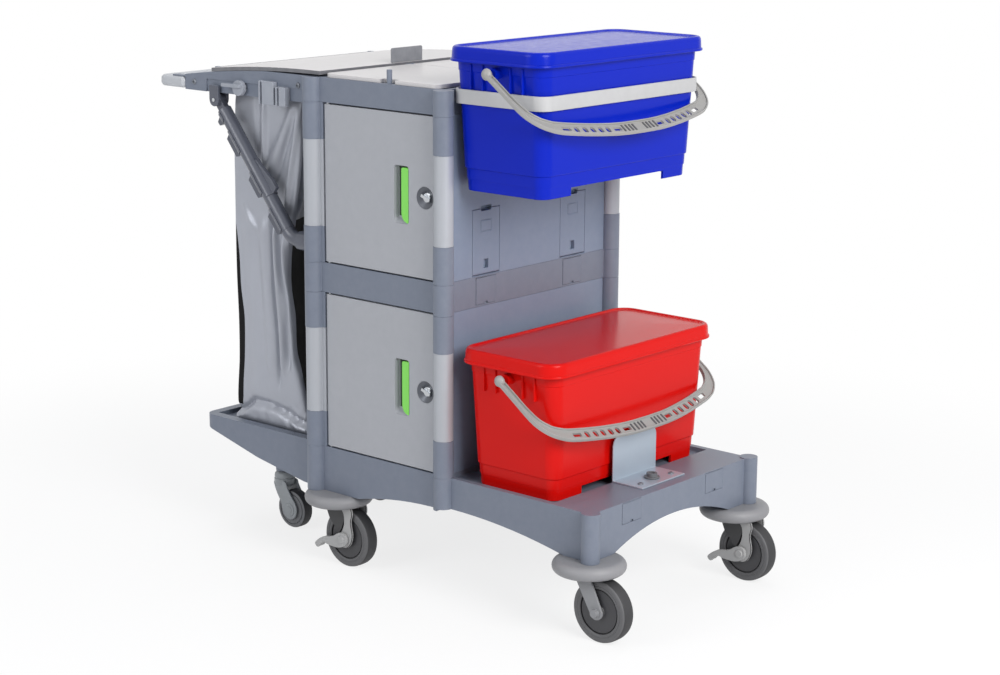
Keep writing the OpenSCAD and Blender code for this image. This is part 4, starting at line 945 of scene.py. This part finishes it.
silver_finish = cloth_finish("silver_cloth", (166, 169, 178), 0.4, Metallic=0.3)
black_finish = cloth_finish("black_cloth", (6, 6, 9), 0.5, Specular_IOR_Level=0.12)
tube_half = 19.5
rear_pillar = box_mm("pillar_tubes")[0].x + tube_half
bag_low, bag_high, face_out, face_room = 250.6, 981.0, 221.5, 11.0
bag_rings, black_columns, silver_columns, end_columns = 130, 6, 104, 56
left_edge = ((250, -284), (258, -290), (268, -288), (277, -281), (288, -287), (316, -287), (387, -280),
             (508, -280), (615, -282), (680, -282.5), (757, -283), (846, -281), (924, -277), (985, -275))
seam_line = ((250, -283), (275, -274), (284, -270), (337, -266), (398, -259), (477, -257), (545, -266),
             (613, -269), (660, -275), (700, -281.5), (757, -282.5), (985, -274.5))
right_edge = ((250, -60), (262, -60), (272, -70), (290, -75), (333, -86), (382, -99), (431, -108),
              (499, -113), (558, -123), (597, -126), (648, -123), (700, -111), (756, -95), (861, -78),
              (955, -71), (985, -66))
toe_crease = ((-292, 268), (-265, 275), (-230, 297), (-157, 294), (-104, 279), (-56, 268))
fold_depth, toe_out, crease_in, hem_in, wave, crumple_out, top_in = 1.4, 8, 9, 9, 2.0, 8, 3
end_hollow, drawn_hollow, pleat_deep, tuck_deep = 16, 32, 4, 9
near_folds = (
    (((800, -188), (855, -186), (899, -185), (960, -183)), 7, 7),
    (((815, -200), (899, -203), (960, -204)), 9, -4),
    (((765, -180), (805, -168), (836, -154), (887, -125), (928, -102), (960, -90)), 13, 9),
    (((790, -150), (836, -134), (887, -112), (928, -94)), 6, -5),
    (((690, -128), (732, -122), (796, -111), (863, -95), (935, -81)), 7, 7),
    (((345, -154), (373, -154), (424, -155), (478, -159), (552, -167), (613, -168), (693, -170), (730, -173)),
     5, -9),
    (((390, -124), (463, -128), (530, -131), (596, -144), (662, -147), (690, -150)), 6, -8),
    (((370, -139), (463, -143), (530, -149), (613, -157), (690, -160)), 6, 6),
    (((390, -108), (480, -116), (596, -133), (660, -136)), 6, 5),
    (((370, -174), (480, -180), (600, -190), (700, -194)), 12, 6),
    (((300, -222), (420, -214), (560, -228), (700, -236)), 22, 5),
    (((668, -200), (690, -225), (720, -250)), 7, 4),
)


def along(points, z):
    """A value read off given (place, value) points on a smooth curve."""
    z = min(max(z, points[0][0]), points[-1][0])
    k = next(i for i in range(len(points) - 1) if z <= points[i + 1][0])
    (z0, a), (z1, b) = points[k], points[k + 1]
    before, after = points[max(k - 1, 0)], points[min(k + 2, len(points) - 1)]
    tall, t = z1 - z0, (z - z0) / (z1 - z0)
    leave = tall * (b - before[1]) / (z1 - before[0])
    arrive = tall * (after[1] - a) / (after[0] - z0)
    return ((2 * t ** 3 - 3 * t ** 2 + 1) * a + (t ** 3 - 2 * t ** 2 + t) * leave
            + (3 * t ** 2 - 2 * t ** 3) * b + (t ** 3 - t ** 2) * arrive)


def near_swell(x, z):
    """How far the near panel stands out at a place, by its folds, toe and soft creases."""
    out = 0.0
    for points, wide, tall in near_folds:
        first, last = points[0][0], points[-1][0]
        here = smooth_step(first - 20, first + 35, z) * (1 - smooth_step(last - 25, last + 20, z))
        if here:
            out += fold_depth * tall * here * exp(-((x - along(points, z)) / wide) ** 2)
    crease = along(toe_crease, x)
    out += toe_out * smooth_step(2, 14, crease - z) - crease_in * exp(-((z - crease - 2) / 6) ** 2)
    out -= hem_in * (1 - smooth_step(bag_low, 259, z))
    out += wave * noise.noise(Vector((x * 0.016, z * 0.008, 3.0)))
    crumple = exp(-((z - 275) / 24) ** 2) * (0.3 + smooth_step(-150, -90, x))
    out += crumple_out * crumple * noise.noise(Vector((x * 0.06, z * 0.07, 8.0)))
    return out - top_in * smooth_step(940, 975, z)


def bag_ring(z):
    """The bag's outline at a height, near side first, in millimetres."""
    left, right = along(left_edge, z), along(right_edge, z)
    seam = max(along(seam_line, z), left + 0.8)
    xs = [left + (seam - left) * k / black_columns for k in range(black_columns)]
    xs += [seam + (right - seam) * k / silver_columns for k in range(silver_columns + 1)]
    drawn = smooth_step(260, 420, z) * (1 - smooth_step(760, 960, z))
    raised = smooth_step(690, 760, z)
    bends = (4.0, 16.0 - 8.0 * raised)

    def side_out(x):
        """How far out a side panel stands, less where it turns round a corner."""
        turned = 0.0
        for gap, bend in zip((x - left, right - x), bends):
            share = min(max(1 - gap / bend, 0.0), 1.0)
            turned += bend * (1 - sqrt(1 - share * share))
        return face_out + face_room * tanh(near_swell(x, z) / face_room) - turned

    ring = [(x, -side_out(x)) for x in xs]
    for end, (x, sign) in enumerate(((right, -1), (left, 1))):
        half = (side_out(right), side_out(left))[end]
        for k in range(1, end_columns):
            t = k / end_columns
            y = (2 * half * t - half) * (1 if end == 0 else -1)
            from_corner = half - abs(y)
            pleat = sin(y / 21 + z / 260 + end) + 0.5 * sin(y / 9 - z / 120)
            hollow = end_hollow + drawn_hollow * drawn
            inward = hollow * sin(pi * t) ** 0.6 + pleat_deep * pleat * sin(pi * t)
            if end == 0:
                tuck, bulge = (exp(-((from_corner - at) / wide) ** 2) for at, wide in ((8, 6), (26, 9)))
                inward += raised * tuck_deep * (tuck - bulge)
            ring.append((x + sign * inward, y))
        if end == 0:
            ring += [(px, side_out(px)) for px in reversed(xs)]
    return [Vector((rear_pillar + px, y, z)) for px, y in ring]


bm = bmesh.new()
heights = [bag_low + (bag_high - bag_low) * k / bag_rings for k in range(bag_rings + 1)]
rings = [[p / 1000 for p in bag_ring(z)] for z in heights]
floor_mid = sum(rings[0], Vector()) / len(rings[0])
floor_rings = [[floor_mid + (p - floor_mid) * s for p in rings[0]] for s in (0.5, 0.8, 0.94)]
loft(bm, floor_rings + rings, False)
face_columns = black_columns + silver_columns
far_first, columns = face_columns + end_columns, len(rings[0])
toe_top, lined_from, lined_share = 283, 705, 0.3
for number, face in enumerate(bm.faces):
    ring_row, column = divmod(number, columns)
    z = face.calc_center_median().z * 1000
    first = 0 if z < toe_top else black_columns
    lined = end_columns * lined_share if z > lined_from else 0
    silver_near = first <= column < face_columns + lined
    silver_far = far_first - lined <= column < far_first + face_columns - first
    face.material_index = int(ring_row < len(floor_rings) or not (silver_near or silver_far))
bag = add_piece("waste_bag", bm, [silver_finish, black_finish], "bag", smooth_deg=55, even=False)
wall = bag.modifiers.new("cloth_thickness", "SOLIDIFY")
wall.thickness, wall.offset = 0.0012, -1.0


# Bag lid: one arched pale panel, darker on its faces that do not face up,
# hinged beside the push bar, with a bare upright tab on its free edge.
lid_side_finish = moulded("lid_side_dark", "dark_plastic", (84, 84, 90), 0.45)
tab_finish = moulded("tab_grey", "dark_plastic", (110, 112, 118), 0.45)
side_normal_z_below = 0.55
# The rim and underside, every face turned less than steeply up, get the darker colour.
dress("bag_lid", "bag_lid_panel", [lid_finish, lid_side_finish], 1.4, 2,
      lambda face: int(face.normal.z < side_normal_z_below))
dress("lid_tab", "bag_lid_tab", tab_finish, 0.8)


# Fasteners: the steel hinge pins and brace bolts, and button-head screws with a
# hexagon socket.
dress("pivot_pins", "hinge_pin_set", steel_finish, 0.4)
head_round, head_tall, socket_flat, socket_floor, around = 6.0, 3.0, 2.4, 1.2, 36
head = bmesh.new()
turns = [2 * pi * k / around for k in range(around)]
hexagon = [socket_flat / cos((a + pi / 6) % (pi / 3) - pi / 6) for a in turns]
dome = [(head_round, 0.0), (head_round, 0.9), (5.5, 1.7), (4.6, 2.4), (3.5, head_tall)]
shapes = [([r] * around, z) for r, z in dome] + [(hexagon, z) for z in (head_tall, socket_floor)]
loft(head, [[Vector((r * cos(a), r * sin(a), z)) / 1000 for r, a in zip(radii, turns)]
            for radii, z in shapes])
places, flat_below = [], 7
for low, high in solid_boxes("screws"):
    middle = (low + high) / 2
    if high.z - low.z < flat_below:
        places.append((Vector((middle.x, middle.y, high.z - head_tall)), upright_turn))
    else:
        s = 1 if middle.y > 0 else -1
        seat = Vector((middle.x, s * min(abs(low.y), abs(high.y)), middle.z))
        places.append((seat, Matrix.Rotation(-s * pi / 2, 3, "X")))
screw_finish = moulded("screw_zinc", "steel", (112, 116, 124), 0.45, wear=0.0, Metallic=0.3)
screw_set = copies("screw_places", places, head, screw_finish)
add_piece("button_screw_set", screw_set, screw_finish, "screws")

low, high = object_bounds()
